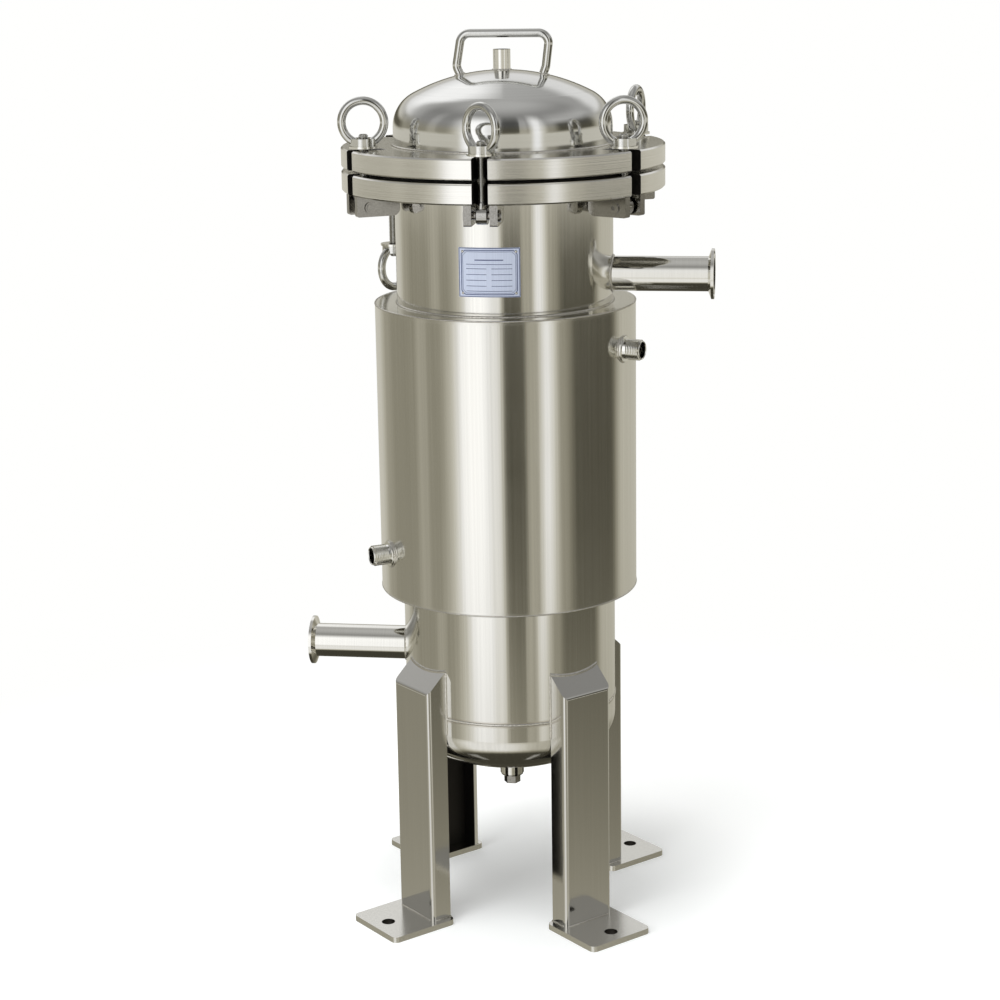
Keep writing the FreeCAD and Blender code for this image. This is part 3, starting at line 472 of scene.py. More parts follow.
def make_channel_group():
    """Mask of painted shade on the inner faces of the four folded leg channels."""
    group, nodes, given, out = new_group("channel_painted_shade", [VECTOR_INPUT], MASK_OUTPUT)
    x, y, z = nodes.split(given.outputs["Vector"])
    east, north = nodes.math("ABSOLUTE", x), nodes.math("ABSOLUTE", y)
    outward = nodes.times(nodes.math("ADD", east, north), math.sqrt(0.5))
    across = nodes.math("ABSOLUTE", nodes.math("SUBTRACT", east, north))
    aside = nodes.times(across, math.sqrt(0.5))
    inside = nodes.times(nodes.rise(outward, *CHANNEL_FACE, *FALLING),
                         nodes.rise(aside, *CHANNEL_SIDE, *FALLING))
    cap = nodes.math("MULTIPLY_ADD", outward, CAP_SLOPE, z)
    nodes.link(nodes.times(inside, nodes.rise(cap, *CHANNEL_TOP, *FALLING)), out.inputs["Mask"])
    return group


def make_hole_group():
    """Mask of painted shade on the walls of the four bolt holes in the foot plates."""
    group, nodes, given, out = new_group("hole_painted_shade", [VECTOR_INPUT], MASK_OUTPUT)
    place = nodes.split(given.outputs["Vector"])
    east = nodes.math("SUBTRACT", nodes.math("ABSOLUTE", place[X]), HOLE_PLACE)
    north = nodes.math("SUBTRACT", nodes.math("ABSOLUTE", place[Y]), HOLE_PLACE)
    away = nodes.length(east, north)
    nodes.link(nodes.rise(away, *HOLE_EDGE, *FALLING), out.inputs["Mask"])
    return group


TURNED = make_turned_group()
DRAWN = make_drawn_group()
HANDLING = make_handling_group()
SLOT_PAINTED_SHADE = make_slot_group()
DRESSED_SEAM = make_seam_group()
CHANNEL_PAINTED_SHADE = make_channel_group()
HOLE_PAINTED_SHADE = make_hole_group()

# Finishes

SEAM_TINT, SEAM_SHARE, SEAM_ROUGHER = (0.45, 0.40, 0.32), 0.45, 0.12
# Colour and roughness of the painted shade laid into flange slot walls, leg channels and bolt holes.
PAINTED_SHADE_COLOUR, PAINTED_SHADE_ROUGH = (0.045, 0.042, 0.038), 0.5
BLACK, WHITE = (0, 0, 0), (1, 1, 1)
PATTERN_STOPS = [(0.3, BLACK), (0.7, WHITE)]
BUMP_DISTANCE = 0.001
FELT_FINENESS, FELT_LENGTH, FELT_DETAIL = 900.0, 260.0, 4.0


def metal(name, dark, light, rough, spread, lines=None, fineness=900.0, length=14.0, bump=0.05,
          clouds=22.0, centre=(0, 0, 0), turn=(0, 0, 0), metallic=1.0, shaded=(), seams=()):
    """Polished or satin metal whose lines and clouds shift its colour and roughness a little."""
    material = bpy.data.materials.new(name)
    material.use_nodes = True
    nodes = Nodes(material.node_tree)
    coordinates = nodes.add("ShaderNodeTexCoord").outputs["Object"]
    placed = nodes.add("ShaderNodeMapping", vector_type="TEXTURE")
    placed.inputs["Location"].default_value = centre
    placed.inputs["Rotation"].default_value = turn
    nodes.link(coordinates, placed.inputs["Vector"])
    marks = nodes.add("ShaderNodeGroup", node_tree=HANDLING)
    marks.inputs["Size"].default_value = clouds
    nodes.link(placed.outputs[0], marks.inputs["Vector"])
    pattern = marks.outputs["Specks"]
    if lines is not None:
        drawn = nodes.add("ShaderNodeGroup", node_tree=lines)
        drawn.inputs["Fineness"].default_value = fineness
        drawn.inputs["Length"].default_value = length
        nodes.link(placed.outputs[0], drawn.inputs["Vector"])
        pattern = drawn.outputs["Lines"]
    colour = nodes.mix(nodes.ramp(pattern, PATTERN_STOPS), dark, light)
    uneven = nodes.math("ADD", nodes.times(pattern, spread), nodes.times(marks.outputs["Clouds"], spread))
    roughness = nodes.math("ADD", uneven, rough - spread, clamp=True)
    for seam in seams:
        zone = nodes.add("ShaderNodeGroup", node_tree=DRESSED_SEAM)
        zone.inputs["Level"].default_value = seam
        nodes.link(coordinates, zone.inputs["Vector"])
        colour = nodes.mix(nodes.times(zone.outputs["Mask"], SEAM_SHARE), colour, SEAM_TINT)
        roughness = nodes.level(roughness, rough + SEAM_ROUGHER, zone.outputs["Mask"])
    # Painted shade: each mask turns the colour to the dark shade colour and roughens it.
    for shade_mask in shaded:
        zone = nodes.add("ShaderNodeGroup", node_tree=shade_mask)
        nodes.link(coordinates, zone.inputs["Vector"])
        colour = nodes.mix(zone.outputs["Mask"], colour, PAINTED_SHADE_COLOUR)
        roughness = nodes.level(roughness, PAINTED_SHADE_ROUGH, zone.outputs["Mask"])
    height = nodes.add("ShaderNodeBump")
    height.inputs["Strength"].default_value = bump
    height.inputs["Distance"].default_value = BUMP_DISTANCE
    nodes.link(pattern, height.inputs["Height"])
    surface = nodes.add("ShaderNodeBsdfPrincipled")
    surface.inputs["Metallic"].default_value = metallic
    nodes.link(colour, surface.inputs["Base Color"])
    nodes.link(roughness, surface.inputs["Roughness"])
    nodes.link(height.outputs[0], surface.inputs["Normal"])
    output = nodes.add("ShaderNodeOutputMaterial")
    nodes.link(surface.outputs[0], output.inputs[0])
    return material


def along_x(height):
    """Centre and turn that lay a pattern's Z axis along X at a height."""
    return {"centre": (0, 0, height), "turn": (0, math.radians(90), 0)}


STEEL_DARK, STEEL_LIGHT = (0.745, 0.735, 0.695), (0.805, 0.795, 0.755)
BRIGHT_DARK, BRIGHT_LIGHT = (0.77, 0.76, 0.72), (0.86, 0.85, 0.81)
FINISHES = {
    "satin_shell": metal("satin_shell", STEEL_DARK, STEEL_LIGHT, 0.11, 0.04, DRAWN, 420, 3.0,
                         bump=0.02, seams=(BOTTOM_SEAM,)),
    "satin_jacket": metal("satin_jacket", STEEL_DARK, STEEL_LIGHT, 0.12, 0.04, DRAWN, 380, 2.5,
                          bump=0.02),
    "jacket_ring": metal("jacket_ring", STEEL_DARK, STEEL_LIGHT, 0.14, 0.05, TURNED, 1200, 5,
                         bump=0.03),
    "turned_flange": metal("turned_flange", (0.78, 0.77, 0.735), (0.85, 0.84, 0.805), 0.18, 0.04,
                           TURNED, 1900, 5, bump=0.04, shaded=(SLOT_PAINTED_SHADE,)),
    "mirror_dome": metal("mirror_dome", (0.76, 0.76, 0.745), (0.81, 0.81, 0.795), 0.10, 0.03,
                         TURNED, 500, 4, bump=0.006),
    "inlet_tube": metal("inlet_tube", BRIGHT_DARK, BRIGHT_LIGHT, 0.07, 0.03, TURNED, 1500, 8,
                        bump=0.01, **along_x(INLET_Z)),
    "outlet_tube": metal("outlet_tube", BRIGHT_DARK, BRIGHT_LIGHT, 0.07, 0.03, TURNED, 1500, 8,
                         bump=0.01, **along_x(OUTLET_Z)),
    "bright_stub": metal("bright_stub", BRIGHT_DARK, BRIGHT_LIGHT, 0.07, 0.03, TURNED, 1500, 8,
                         bump=0.01),
    "leg_sheet": metal("leg_sheet", (0.69, 0.68, 0.65), (0.715, 0.705, 0.675), 0.10, 0.02, DRAWN,
                       500, 4, bump=0.004, shaded=(CHANNEL_PAINTED_SHADE,)),
    "foot_plate": metal("foot_plate", (0.70, 0.69, 0.65), (0.78, 0.77, 0.73), 0.20, 0.05, None,
                        bump=0.02, clouds=30, shaded=(HOLE_PAINTED_SHADE,)),
    "fastener_steel": metal("fastener_steel", (0.26, 0.25, 0.23), (0.42, 0.41, 0.385), 0.13,
                            0.05, None, bump=0.02, clouds=70),
    "rod_steel": metal("rod_steel", (0.40, 0.395, 0.375), (0.56, 0.555, 0.53), 0.14, 0.05, None,
                       bump=0.02, clouds=70),
    "polished_ring": metal("polished_ring", (0.62, 0.62, 0.60), (0.74, 0.74, 0.72), 0.06, 0.03,
                           None, bump=0.015, clouds=60),
    "bright_hardware": metal("bright_hardware", (0.79, 0.785, 0.75), (0.88, 0.875, 0.84), 0.09,
                             0.04, None, bump=0.015, clouds=60),
    "weld_metal": metal("weld_metal", (0.60, 0.58, 0.53), (0.84, 0.82, 0.77), 0.20, 0.10, None,
                        bump=0.35, clouds=55),
    "basket_sheet": metal("basket_sheet", (0.60, 0.59, 0.55), (0.70, 0.69, 0.65), 0.2, 0.06,
                          DRAWN, 900, 12, bump=0.04),
    "seal_rubber": metal("seal_rubber", (0.008, 0.008, 0.008), (0.022, 0.022, 0.021), 0.62, 0.1,
                         None, bump=0.1, clouds=120, metallic=0.0),
    "plate_metal": metal("plate_metal", (0.53, 0.59, 0.74), (0.60, 0.66, 0.81), 0.45, 0.06,
                         DRAWN, 1500, 20, bump=0.02, metallic=0.1),
    "plate_ink_and_painted_shadow": metal("plate_ink_and_painted_shadow", (0.05, 0.07, 0.17), (0.08, 0.105, 0.22), 0.5, 0.06, None,
                       bump=0.02, clouds=90, metallic=0.0),
    "ring_moulding": metal("ring_moulding", (0.72, 0.72, 0.70), (0.80, 0.80, 0.78), 0.45, 0.06,
                           None, bump=0.05, clouds=60, metallic=0.0),
}


def make_felt():
    """Needled polyester felt: fibres in two directions over soft clouds."""
    material = bpy.data.materials.new("bag_felt")
    material.use_nodes = True
    nodes = Nodes(material.node_tree)
    coordinates = nodes.add("ShaderNodeTexCoord").outputs["Object"]
    x, y, z = nodes.split(coordinates)
    fibres = stretched_noise(nodes, nodes.times(x, FELT_FINENESS), nodes.times(y, FELT_FINENESS),
                             nodes.times(z, FELT_LENGTH), FELT_DETAIL)
    marks = nodes.add("ShaderNodeGroup", node_tree=HANDLING)
    marks.inputs["Size"].default_value = 40.0
    nodes.link(coordinates, marks.inputs["Vector"])
    colour = nodes.mix(nodes.ramp(fibres, PATTERN_STOPS), (0.74, 0.73, 0.68), (0.90, 0.89, 0.85))
    colour = nodes.mix(nodes.times(marks.outputs["Clouds"], 0.25), colour, (0.70, 0.68, 0.62))
    height = nodes.add("ShaderNodeBump")
    height.inputs["Strength"].default_value = 0.5
    height.inputs["Distance"].default_value = BUMP_DISTANCE
    nodes.link(fibres, height.inputs["Height"])
    surface = nodes.add("ShaderNodeBsdfPrincipled")
    surface.inputs["Roughness"].default_value = 0.95
    surface.inputs["Sheen Weight"].default_value = 0.3
    nodes.link(colour, surface.inputs["Base Color"])
    nodes.link(height.outputs[0], surface.inputs["Normal"])
    output = nodes.add("ShaderNodeOutputMaterial")
    nodes.link(surface.outputs[0], output.inputs[0])
    return material


FINISHES["bag_felt"] = make_felt()

USES = {
    "satin_shell": ["shell", "bottom_head"],
    "satin_jacket": ["jacket_shell"],
    "jacket_ring": ["jacket_top_ring", "jacket_bottom_ring"],
    "turned_flange": ["body_flange", "lid_flange"],
    "mirror_dome": ["lid_dome"],
    "inlet_tube": ["inlet_pipe", "inlet_ferrule"],
    "outlet_tube": ["outlet_pipe", "outlet_ferrule"],
    "bright_stub": ["vent_nozzle", "drain_socket"],
    "leg_sheet": ["leg_1", "leg_2", "leg_3", "leg_4"],
    "foot_plate": ["foot_plate_1", "foot_plate_2", "foot_plate_3", "foot_plate_4"],
    "basket_sheet": ["basket", "basket_rim", "basket_seat_ring", "basket_bail"],
    "seal_rubber": ["gasket"],
    "fastener_steel": ["clevis_ears", "pivot_pins", "pivot_rings", "drain_plug", "drain_seal"],
    "polished_ring": ["lid_handle"] + ["eye_nut_%d" % number for number in range(1, 7)],
    "plate_metal": ["nameplate"],
    "bag_felt": ["filter_bag"],
    "ring_moulding": ["bag_ring"],
}


def finish_cad_nodes():
    named = {node: finish for finish, group in USES.items() for node in group}
    for name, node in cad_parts.items():
        material = FINISHES[named.get(name, "bright_hardware")]
        node.data.materials.clear()
        node.data.materials.append(material)


finish_cad_nodes()

# Modelling helpers


def standing(azimuth):
    """Frame turned to an azimuth from the front: +X outward, +Y sideways, +Z up."""
    return Matrix.Rotation(math.radians(azimuth - 90), 4, "Z")


def lying(azimuth, height):
    """Frame whose +Z points outward at an azimuth and a height."""
    return (Matrix.Translation((0, 0, height)) @ standing(azimuth)
            @ Matrix.Rotation(math.radians(90), 4, "Y"))


def add_piece(name, build, body, finish, replaced=None, angle=40.0):
    """Close a mesh, give it its finish and let it ride on a body."""
    bmesh.ops.recalc_face_normals(build, faces=build.faces)
    for face in build.faces:
        face.smooth = True
    for edge in build.edges:
        if len(edge.link_faces) == 2 and edge.calc_face_angle(0.0) > math.radians(angle):
            edge.smooth = False
    mesh = bpy.data.meshes.new(name)
    build.to_mesh(mesh)
    build.free()
    mesh.materials.append(FINISHES[finish])
    piece = bpy.data.objects.new(name, mesh)
    scene.collection.objects.link(piece)
    if replaced:
        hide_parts(replaced)
    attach(piece, body)
    return piece


def merge_into(build, part, place=None):
    """Move a finished part to its place and add it to the piece."""
    if place is not None:
        bmesh.ops.transform(part, matrix=place, verts=part.verts)
    mesh = bpy.data.meshes.new("part")
    part.to_mesh(mesh)
    part.free()
    build.from_mesh(mesh)
    bpy.data.meshes.remove(mesh)


def turned_part(outline, steps, closed=True):
    """Outline of (radius, height) points spun about Z."""
    part = bmesh.new()
    corners = [part.verts.new((radius, 0, height)) for radius, height in outline]
    edges = [part.edges.new(pair) for pair in zip(corners, corners[1:])]
    if closed:
        edges.append(part.edges.new((corners[-1], corners[0])))
    bmesh.ops.spin(part, geom=corners + edges, cent=(0, 0, 0), axis=(0, 0, 1),
                   angle=2 * math.pi, steps=steps, use_merge=True)
    bmesh.ops.remove_doubles(part, verts=part.verts, dist=1e-6)
    return part


def bead_part(radius, wire, steps, sweep=360.0, squash=1.0):
    """Weld bead along a circle about Z, or along a part of it that is centred on +X."""
    part = bmesh.new()
    stand = Matrix.Translation((radius, 0, 0)) @ Matrix.Rotation(math.radians(90), 4, "X")
    ring = bmesh.ops.create_circle(part, segments=10, radius=wire, cap_ends=sweep < 360, matrix=stand)
    bmesh.ops.scale(part, vec=(1, 1, squash), verts=ring["verts"])
    bmesh.ops.rotate(part, verts=part.verts, cent=(0, 0, 0),
                     matrix=Matrix.Rotation(math.radians(-sweep / 2), 3, "Z"))
    bmesh.ops.spin(part, geom=part.verts[:] + part.edges[:] + part.faces[:], cent=(0, 0, 0),
                   axis=(0, 0, 1), angle=math.radians(sweep), steps=steps, use_merge=sweep == 360)
    bmesh.ops.remove_doubles(part, verts=part.verts, dist=1e-7)
    return part


def straight_bead(start, end, wire):
    """Weld bead between two points, with rounded ends."""
    part = bmesh.new()
    run = Vector(end) - Vector(start)
    bmesh.ops.create_cone(part, cap_ends=True, segments=10, radius1=wire, radius2=wire,
                          depth=run.length)
    ends = [edge for edge in part.edges if len(edge.link_faces) == 2
            and abs(edge.verts[0].co.z - edge.verts[1].co.z) < 1e-6]
    bmesh.ops.bevel(part, geom=ends, offset=wire * 0.6, segments=2, profile=0.5, affect="EDGES",
                    material=-1)
    turn = run.to_track_quat("Z", "Y").to_matrix().to_4x4()
    centre = Matrix.Translation((Vector(start) + Vector(end)) / 2)
    bmesh.ops.transform(part, matrix=centre @ turn, verts=part.verts)
    return part


# Welds

# Half the width of each bead, and how far a bead's middle lies from the corner that it fills.
FLANGE_BEAD, JACKET_BEAD, RIM_BEAD, SEAM_BEAD, SOCKET_BEAD = 0.0026, 0.0014, 0.0009, 0.0009, 0.0014
SADDLE_BEAD, NIPPLE_BEAD, EAR_BEAD = 0.0017, 0.0010, 0.0009
SIDE_BEAD, FOOT_BEAD, CAP_BEAD = 0.0013, 0.0012, 0.0014
LID_BEAD, VENT_BEAD, HANDLE_BEAD = 0.0017, 0.0012, 0.0011
RIM_INSET = 0.0004
# Where straight beads start and end: heights up a leg, and distances outward at its foot and an ear.
SIDE_RUN, FOOT_RUN, EAR_RUN = (0.204, 0.2715), (0.1045, LEG_FACE - 0.004), (0.118, 0.156)
CAP_SWEEP = 31.8
SOCKET_R, VENT_R = highest("drain_socket", X), highest("vent_nozzle", X)
COLLAR_R = 0.0130
HANDLE_FOOT, HANDLE_TILT, HANDLE_BEAD_R = (0.0422, 0, 0.8632), 12.5, 0.0047


def saddle_bead(centre_z, turn):
    """Bead round a pipe where it meets the shell."""
    part = bead_part(PIPE_R + 0.0004, SADDLE_BEAD, 72)
    bmesh.ops.transform(part, matrix=Matrix.Rotation(math.radians(90), 4, "Y"), verts=part.verts)
    for vertex in part.verts:
        vertex.co.x += math.sqrt(SHELL_R ** 2 - vertex.co.y ** 2)
    place = Matrix.Translation((0, 0, centre_z)) @ Matrix.Rotation(math.radians(turn), 4, "Z")
    bmesh.ops.transform(part, matrix=place, verts=part.verts)
    return part


def leg_beads(azimuth):
    """Beads of one leg: up both sides, over the cap and round the foot."""
    joined = bmesh.new()
    corner = LEG_HALF - 0.004
    runs = [((LEG_FACE, -corner, FOOT_TOP), (LEG_FACE, corner, FOOT_TOP), FOOT_BEAD)]
    for side in (-LEG_HALF, LEG_HALF):
        runs.append(((LEG_BACK, side, SIDE_RUN[0]), (LEG_BACK, side, SIDE_RUN[1]), SIDE_BEAD))
        runs.append(((FOOT_RUN[0], side, FOOT_TOP), (FOOT_RUN[1], side, FOOT_TOP), FOOT_BEAD))
    for start, end, wire in runs:
        merge_into(joined, straight_bead(start, end, wire))
    top = bead_part(SHELL_R, CAP_BEAD, 20, sweep=CAP_SWEEP)
    for vertex in top.verts:
        vertex.co.z += CAP_LEVEL - vertex.co.x * CAP_SLOPE
    merge_into(joined, top)
    bmesh.ops.transform(joined, matrix=standing(azimuth), verts=joined.verts)
    return joined


def make_housing_welds():
    build = bmesh.new()
    for radius, height, wire, squash in (
            (SHELL_R, BODY_FLANGE_Z, FLANGE_BEAD, 1.0), (SHELL_R, JACKET_TOP, JACKET_BEAD, 1.0),
            (JACKET_R - RIM_INSET, JACKET_TOP - RIM_INSET, RIM_BEAD, 1.0),
            (SHELL_R, JACKET_BOTTOM, JACKET_BEAD, 1.0),
            (JACKET_R - RIM_INSET, JACKET_BOTTOM + RIM_INSET, RIM_BEAD, 1.0),
            (SHELL_R - 0.0001, BOTTOM_SEAM, SEAM_BEAD, 1.6),
            (SOCKET_R, BOTTOM_APEX + 0.0004, SOCKET_BEAD, 1.0)):
        merge_into(build, bead_part(radius, wire, 144, squash=squash),
                   Matrix.Translation((0, 0, height)))
    merge_into(build, saddle_bead(INLET_Z, 0))
    merge_into(build, saddle_bead(OUTLET_Z, 180))
    outward = Matrix.Translation((0, 0, JACKET_R - RIM_INSET))
    for nipple, azimuth in NIPPLE_AZIMUTHS.items():
        merge_into(build, bead_part(COLLAR_R + 0.0002, NIPPLE_BEAD, 48),
                   lying(azimuth, middle(nipple, Z)) @ outward)
    for azimuth in LEG_AZIMUTHS:
        merge_into(build, leg_beads(azimuth))
    for azimuth in BOLT_AZIMUTHS:
        for ear in (-EAR_ASIDE, EAR_ASIDE):
            for aside in (ear - EAR_HALF, ear + EAR_HALF):
                bead = straight_bead((EAR_RUN[0], aside, BODY_FLANGE_Z),
                                     (EAR_RUN[1], aside, BODY_FLANGE_Z), EAR_BEAD)
                merge_into(build, bead, standing(azimuth))
    add_piece("housing_welds", build, "housing", "weld_metal", angle=70)


def make_lid_welds():
    build = bmesh.new()
    merge_into(build, bead_part(SHELL_R + 0.0003, LID_BEAD, 144), Matrix.Translation((0, 0, LID_TOP)))
    merge_into(build, bead_part(VENT_R + 0.0002, VENT_BEAD, 48),
               Matrix.Translation((0, 0, LID_APEX - 0.0001)))
    for half_turn in (0, math.pi):
        tilt = Matrix.Rotation(math.radians(HANDLE_TILT), 4, "Y")
        foot = Matrix.Rotation(half_turn, 4, "Z") @ Matrix.Translation(HANDLE_FOOT) @ tilt
        merge_into(build, bead_part(HANDLE_BEAD_R, HANDLE_BEAD, 40), foot)
    add_piece("lid_welds", build, "lid", "weld_metal", angle=70)


make_housing_welds()
make_lid_welds()

# Threads

EYE_BORE, EYE_R, EYE_HALF, EYE_EDGE = 0.0042, 0.0085, 0.0055, 0.0007
NECK_R, NECK_FOOT, NECK_TOP, NECK_EDGE = 0.0060, 0.0062, 0.0115, 0.0008
ROD_CORE, ROD_CREST, ROD_PITCH, ROD_TOP = 0.00435, 0.0050, 0.0015, 0.0700
NIPPLE_OPENING, NIPPLE_BORE, NIPPLE_CORE = 0.0075, 0.0080, 0.0093
NIPPLE_CREST, NIPPLE_PITCH, NIPPLE_ROOT, NIPPLE_END = 0.01045, 0.001814, 0.1312, 0.1525
UNDERCUT_R, COLLAR_TOP = 0.0098, 0.1342


def thread_part(core, crest, pitch, start, end, steps):
    """Helical ridge about Z between two heights."""
    turns = (end - start) / pitch
    part = bmesh.new()
    root, half, flat = core - 0.0002, pitch * 0.46, pitch * 0.07
    outline = [(root, -half), (crest, -flat), (crest, flat), (root, half)]
    corners = [part.verts.new((radius, 0, start + height)) for radius, height in outline]
    part.faces.new(corners)
    count = int(steps * turns)
    bmesh.ops.spin(part, geom=part.faces[:], cent=(0, 0, 0), axis=(0, 0, 1),
                   angle=2 * math.pi * turns, steps=count, dvec=(0, 0, (end - start) / count))
    return part


def make_swing_bolt(number, azimuth):
    """Eyed rod with a plain neck and a rolled thread."""
    build = bmesh.new()
    eye = [(EYE_BORE, -EYE_HALF), (EYE_R - EYE_EDGE, -EYE_HALF), (EYE_R, EYE_EDGE - EYE_HALF),
           (EYE_R, EYE_HALF - EYE_EDGE), (EYE_R - EYE_EDGE, EYE_HALF), (EYE_BORE, EYE_HALF)]
    merge_into(build, turned_part(eye, 40), Matrix.Rotation(math.radians(90), 4, "X"))
    rod = [(0.0, NECK_FOOT), (NECK_R - NECK_EDGE, NECK_FOOT), (NECK_R, NECK_FOOT + NECK_EDGE),
           (NECK_R, NECK_TOP), (ROD_CREST, NECK_TOP + 0.0015), (ROD_CORE, NECK_TOP + 0.0027),
           (ROD_CORE, ROD_TOP - 0.0010), (0.0034, ROD_TOP), (0.0, ROD_TOP)]
    merge_into(build, turned_part(rod, 28, closed=False))
    merge_into(build, thread_part(ROD_CORE, ROD_CREST, ROD_PITCH, NECK_TOP + 0.0035,
                                  ROD_TOP - 0.0014, 20))
    flip = Matrix.Rotation(math.pi, 4, "Y") if number == OPEN_BOLT else Matrix.Identity(4)
    place = standing(azimuth) @ Matrix.Translation((BOLT_CIRCLE, 0, PIVOT_Z)) @ flip
    bmesh.ops.transform(build, matrix=place, verts=build.verts)
    add_piece("threaded_rod_%d" % number, build, "swing_bolt_%d" % number, "rod_steel",
              "swing_bolt_%d" % number, angle=35)


def make_nipple(name, azimuth):
    """Threaded pipe nipple with its weld collar."""
    build = bmesh.new()
    outline = [(NIPPLE_OPENING, NIPPLE_ROOT), (NIPPLE_OPENING, 0.1335), (NIPPLE_BORE, 0.1336),
               (NIPPLE_BORE, NIPPLE_END - 0.0006), (NIPPLE_BORE + 0.0005, NIPPLE_END),
               (NIPPLE_CORE - 0.0003, NIPPLE_END), (NIPPLE_CORE, NIPPLE_END - 0.0004),
               (NIPPLE_CORE, COLLAR_TOP + 0.0020), (UNDERCUT_R, COLLAR_TOP + 0.0010),
               (UNDERCUT_R, COLLAR_TOP), (COLLAR_R - 0.0003, COLLAR_TOP),
               (COLLAR_R, COLLAR_TOP - 0.0003), (COLLAR_R, NIPPLE_ROOT)]
    merge_into(build, turned_part(outline, 48))
    merge_into(build, thread_part(NIPPLE_CORE, NIPPLE_CREST, NIPPLE_PITCH, COLLAR_TOP + 0.0026,
                                  NIPPLE_END - 0.0013, 36))
    bmesh.ops.transform(build, matrix=lying(azimuth, middle(name, Z)), verts=build.verts)
    add_piece(name.replace("jacket_nipple", "threaded_nipple"), build, "housing", "bright_hardware",
              name, angle=35)


for count, bolt_azimuth in enumerate(BOLT_AZIMUTHS, start=1):
    make_swing_bolt(count, bolt_azimuth)
for nipple_name, nipple_azimuth in NIPPLE_AZIMUTHS.items():
    make_nipple(nipple_name, nipple_azimuth)

# Nameplate

# Borders of the plate: half width, half height, line and cut corner. The first, at the plate's very edge,
# is a painted shadow outline; the other two are the printed double border.
PLATE_BORDERS_AND_SHADOW_EDGE = ((0.0300, 0.0238, 0.0007, 0.0004), (0.0278, 0.0218, 0.0008, 0.0040),
                 (0.0262, 0.0202, 0.0004, 0.0036))
INK_LIFT, INK_CUT = 0.00012, 0.003
LINE_END, LINE_GAP, LINE_STEP = 0.0225, 0.0025, 0.0056
RIVET_R, RIVET_TOP = 0.0014, 0.0009


def bar_part(left, right, bottom, top):
    """Flat printed bar of the nameplate, in its unrolled plane: X along, Z up, -Y outward."""
    part = bmesh.new()
    bmesh.ops.create_cube(part, size=1.0)
    bmesh.ops.scale(part, vec=(right - left, INK_LIFT, top - bottom), verts=part.verts)
    bmesh.ops.translate(part, vec=((left + right) / 2, -INK_LIFT / 2, (bottom + top) / 2),
                        verts=part.verts)
    cuts = int((right - left) / INK_CUT)
    if cuts:
        run = [edge for edge in part.edges if abs(edge.verts[0].co.x - edge.verts[1].co.x) > 1e-5]
        bmesh.ops.subdivide_edges(part, edges=run, cuts=cuts, use_grid_fill=True)
    return part


def roll_round_shell(part):
    """Carry the unrolled plane on to the plate's face."""
    for vertex in part.verts:
        angle = vertex.co.x / PLATE_R
        radius = PLATE_R - vertex.co.y
        vertex.co = (radius * math.sin(angle), -radius * math.cos(angle), PLATE_Z + vertex.co.z)


def border_bars(build, half_width, half_height, line, corner):
    """Border with cut corners."""
    along, up = half_width - corner, half_height - corner
    for left, right, bottom, top in (
            (-along, along, half_height - line, half_height),
            (-along, along, -half_height, line - half_height),
            (-half_width, line - half_width, -up, up), (half_width - line, half_width, -up, up)):
        merge_into(build, bar_part(left, right, bottom, top))
    reach = corner * math.sqrt(2)
    for side in (-1, 1):
        for end in (-1, 1):
            slant = bar_part(-reach / 2, reach / 2, -line / 2, line / 2)
            turn = Matrix.Rotation(math.radians(45 * side * end), 4, "Y")
            place = Matrix.Translation((side * (half_width - corner / 2 - line / 3), 0,
                                        end * (half_height - corner / 2 - line / 3)))
            merge_into(build, slant, place @ turn)


def make_plate_lines():
    build = bmesh.new()
    # The first border is a dark outline at the plate's edge, a painted shadow in the ink's colour.
    for border in PLATE_BORDERS_AND_SHADOW_EDGE:
        border_bars(build, *border)
    bars = [(-0.0140, 0.0140, 0.0116, 0.0126), (-LINE_END, LINE_END, 0.0077, 0.0082)]
    for row in range(4):
        bottom = 0.0034 - row * LINE_STEP
        bars.append((-LINE_END, -LINE_GAP, bottom, bottom + 0.0005))
        bars.append((LINE_GAP, LINE_END, bottom, bottom + 0.0005))
    bars.append((-LINE_END, LINE_END, -0.0183, -0.0178))
    for left, right, bottom, top in bars:
        merge_into(build, bar_part(left, right, bottom, top))
    roll_round_shell(build)
    add_piece("plate_lines_and_painted_shadow", build, "housing", "plate_ink_and_painted_shadow")


def make_plate_rivets():
    build = bmesh.new()
    along, up = PLATE_BORDERS_AND_SHADOW_EDGE[-1][:2]
    outline = [(0.0, RIVET_TOP), (RIVET_R / 2, RIVET_TOP - 0.0001), (RIVET_R - 0.0002, 0.0005),
               (RIVET_R, 0.0001), (RIVET_R, -0.0002), (0.0, -0.0002)]
    for side in (-1, 1):
        for end in (-1, 1):
            place = lying(math.degrees(side * along / PLATE_R), PLATE_Z + end * up)
            merge_into(build, turned_part(outline, 20, closed=False),
                       place @ Matrix.Translation((0, 0, PLATE_R)))
    add_piece("plate_rivets", build, "housing", "bright_hardware")


make_plate_lines()
make_plate_rivets()

# Filter bag

BAG_TOP, BAG_FLOOR, BAG_R = 0.6358, 0.2475, 0.0887
BAG_SIDE = BAG_FLOOR + 0.034
BAG_RINGS, RING_STEP = 24, 0.0148
FELT = 0.0013
FOLD_DEPTH, PUCKER_DEPTH, PUCKERS = 0.0011, 0.0005, 34
SEAM_AZIMUTH, SEAM_FACE = 200, BAG_R + 0.0003
STRIP_SIZE, STRIP_FOOT, STRIP_EDGE = (0.0008, 0.011, 0.345), BAG_FLOOR + 0.0395, 0.0003
STITCHES, STITCH_STEP, STITCH_RUN, STITCH_WIRE = 84, 0.0040, 0.0028, 0.00035


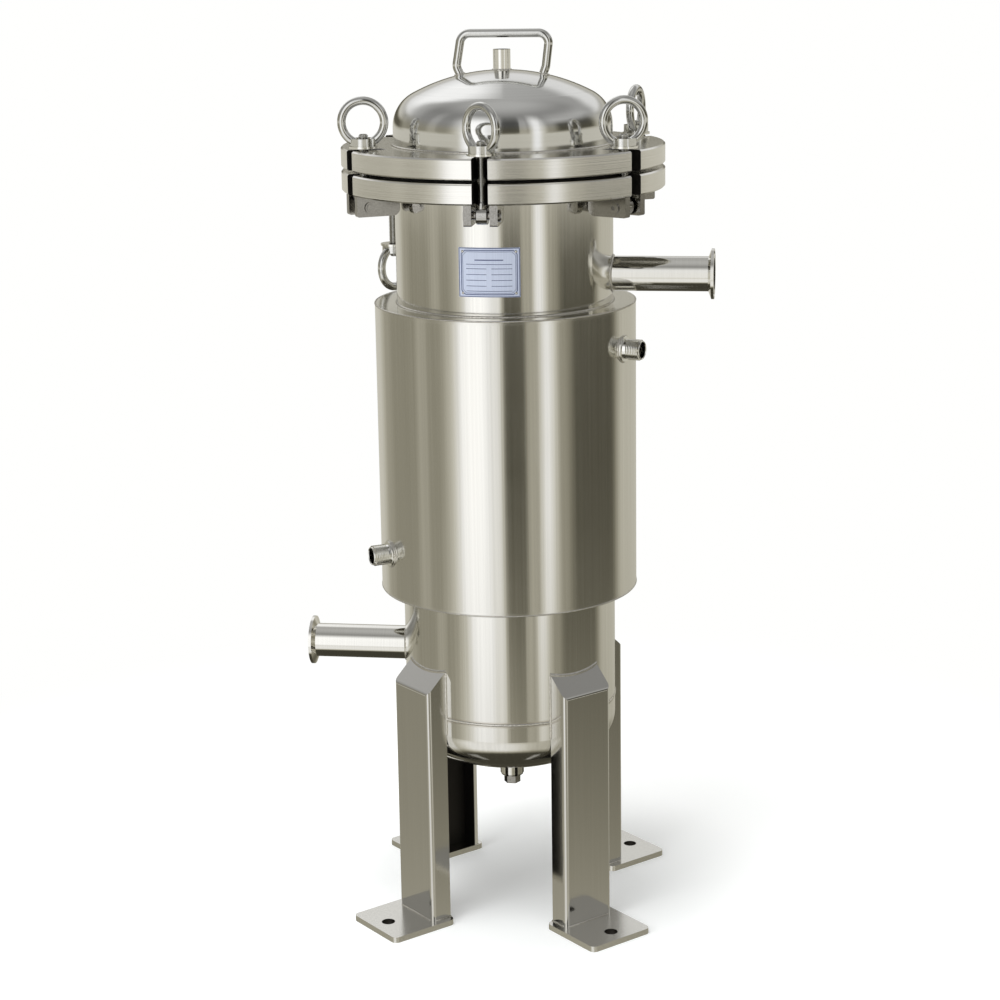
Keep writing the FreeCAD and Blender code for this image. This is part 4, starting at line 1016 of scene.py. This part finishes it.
def make_filter_bag():
    """Felt bag with a sewn round bottom and the small puckers that sewing leaves."""
    outline = [(0.0, BAG_FLOOR), (0.020, BAG_FLOOR - 0.0006), (0.045, BAG_FLOOR - 0.0008),
               (0.070, BAG_FLOOR), (0.080, BAG_FLOOR + 0.0022), (0.0858, BAG_FLOOR + 0.008),
               (0.0878, BAG_FLOOR + 0.018)]
    outline += [(BAG_R, BAG_SIDE + ring * RING_STEP) for ring in range(BAG_RINGS)]
    outline.append((BAG_R, BAG_TOP))
    build = turned_part(outline, 120, closed=False)
    bmesh.ops.recalc_face_normals(build, faces=build.faces)
    for vertex in build.verts:
        x, y, z = vertex.co
        radius = math.hypot(x, y)
        if radius < 0.03:
            continue
        fold = noise.noise(Vector((x * 55, y * 55, z * 9)))
        pucker = math.exp(-abs(z - BAG_FLOOR - 0.022) / 0.012) * math.sin(math.atan2(y, x) * PUCKERS)
        calm = min(1.0, max(0.0, (BAG_TOP - z) / 0.05))
        inward = (FOLD_DEPTH * (fold - 0.6) * calm + PUCKER_DEPTH * (pucker - 1.0)) / radius
        vertex.co.x += x * inward
        vertex.co.y += y * inward
    bmesh.ops.solidify(build, geom=build.faces[:], thickness=FELT)
    add_piece("felt_bag", build, "basket", "bag_felt", "filter_bag", angle=80)


def make_bag_seams():
    """Sewn strip down the side and the round bottom seam."""
    build = bmesh.new()
    strip = bmesh.new()
    bmesh.ops.create_cube(strip, size=1.0)
    bmesh.ops.scale(strip, vec=STRIP_SIZE, verts=strip.verts)
    bmesh.ops.translate(strip, vec=(SEAM_FACE, 0, STRIP_FOOT + STRIP_SIZE[Z] / 2), verts=strip.verts)
    upright = [edge for edge in strip.edges
               if abs(edge.verts[0].co.z - edge.verts[1].co.z) > 0.1]
    bmesh.ops.bevel(strip, geom=upright, offset=STRIP_EDGE, segments=2, profile=0.5, affect="EDGES",
                    material=-1)
    merge_into(build, strip, standing(SEAM_AZIMUTH))
    merge_into(build, bead_part(0.0868, 0.0012, 120, squash=0.7),
               Matrix.Translation((0, 0, BAG_FLOOR + 0.0205)))
    add_piece("bag_seams", build, "basket", "bag_felt", angle=60)


def make_bag_stitches():
    """Two rows of stitches down the sewn strip."""
    build = bmesh.new()
    face = SEAM_FACE + 0.0005
    for side in (-0.0030, 0.0030):
        for step in range(STITCHES):
            foot = BAG_FLOOR + 0.042 + step * STITCH_STEP
            stitch = straight_bead((face, side, foot), (face, side, foot + STITCH_RUN), STITCH_WIRE)
            merge_into(build, stitch, standing(SEAM_AZIMUTH))
    add_piece("bag_stitches", build, "basket", "ring_moulding", angle=60)


make_filter_bag()
make_bag_seams()
make_bag_stitches()
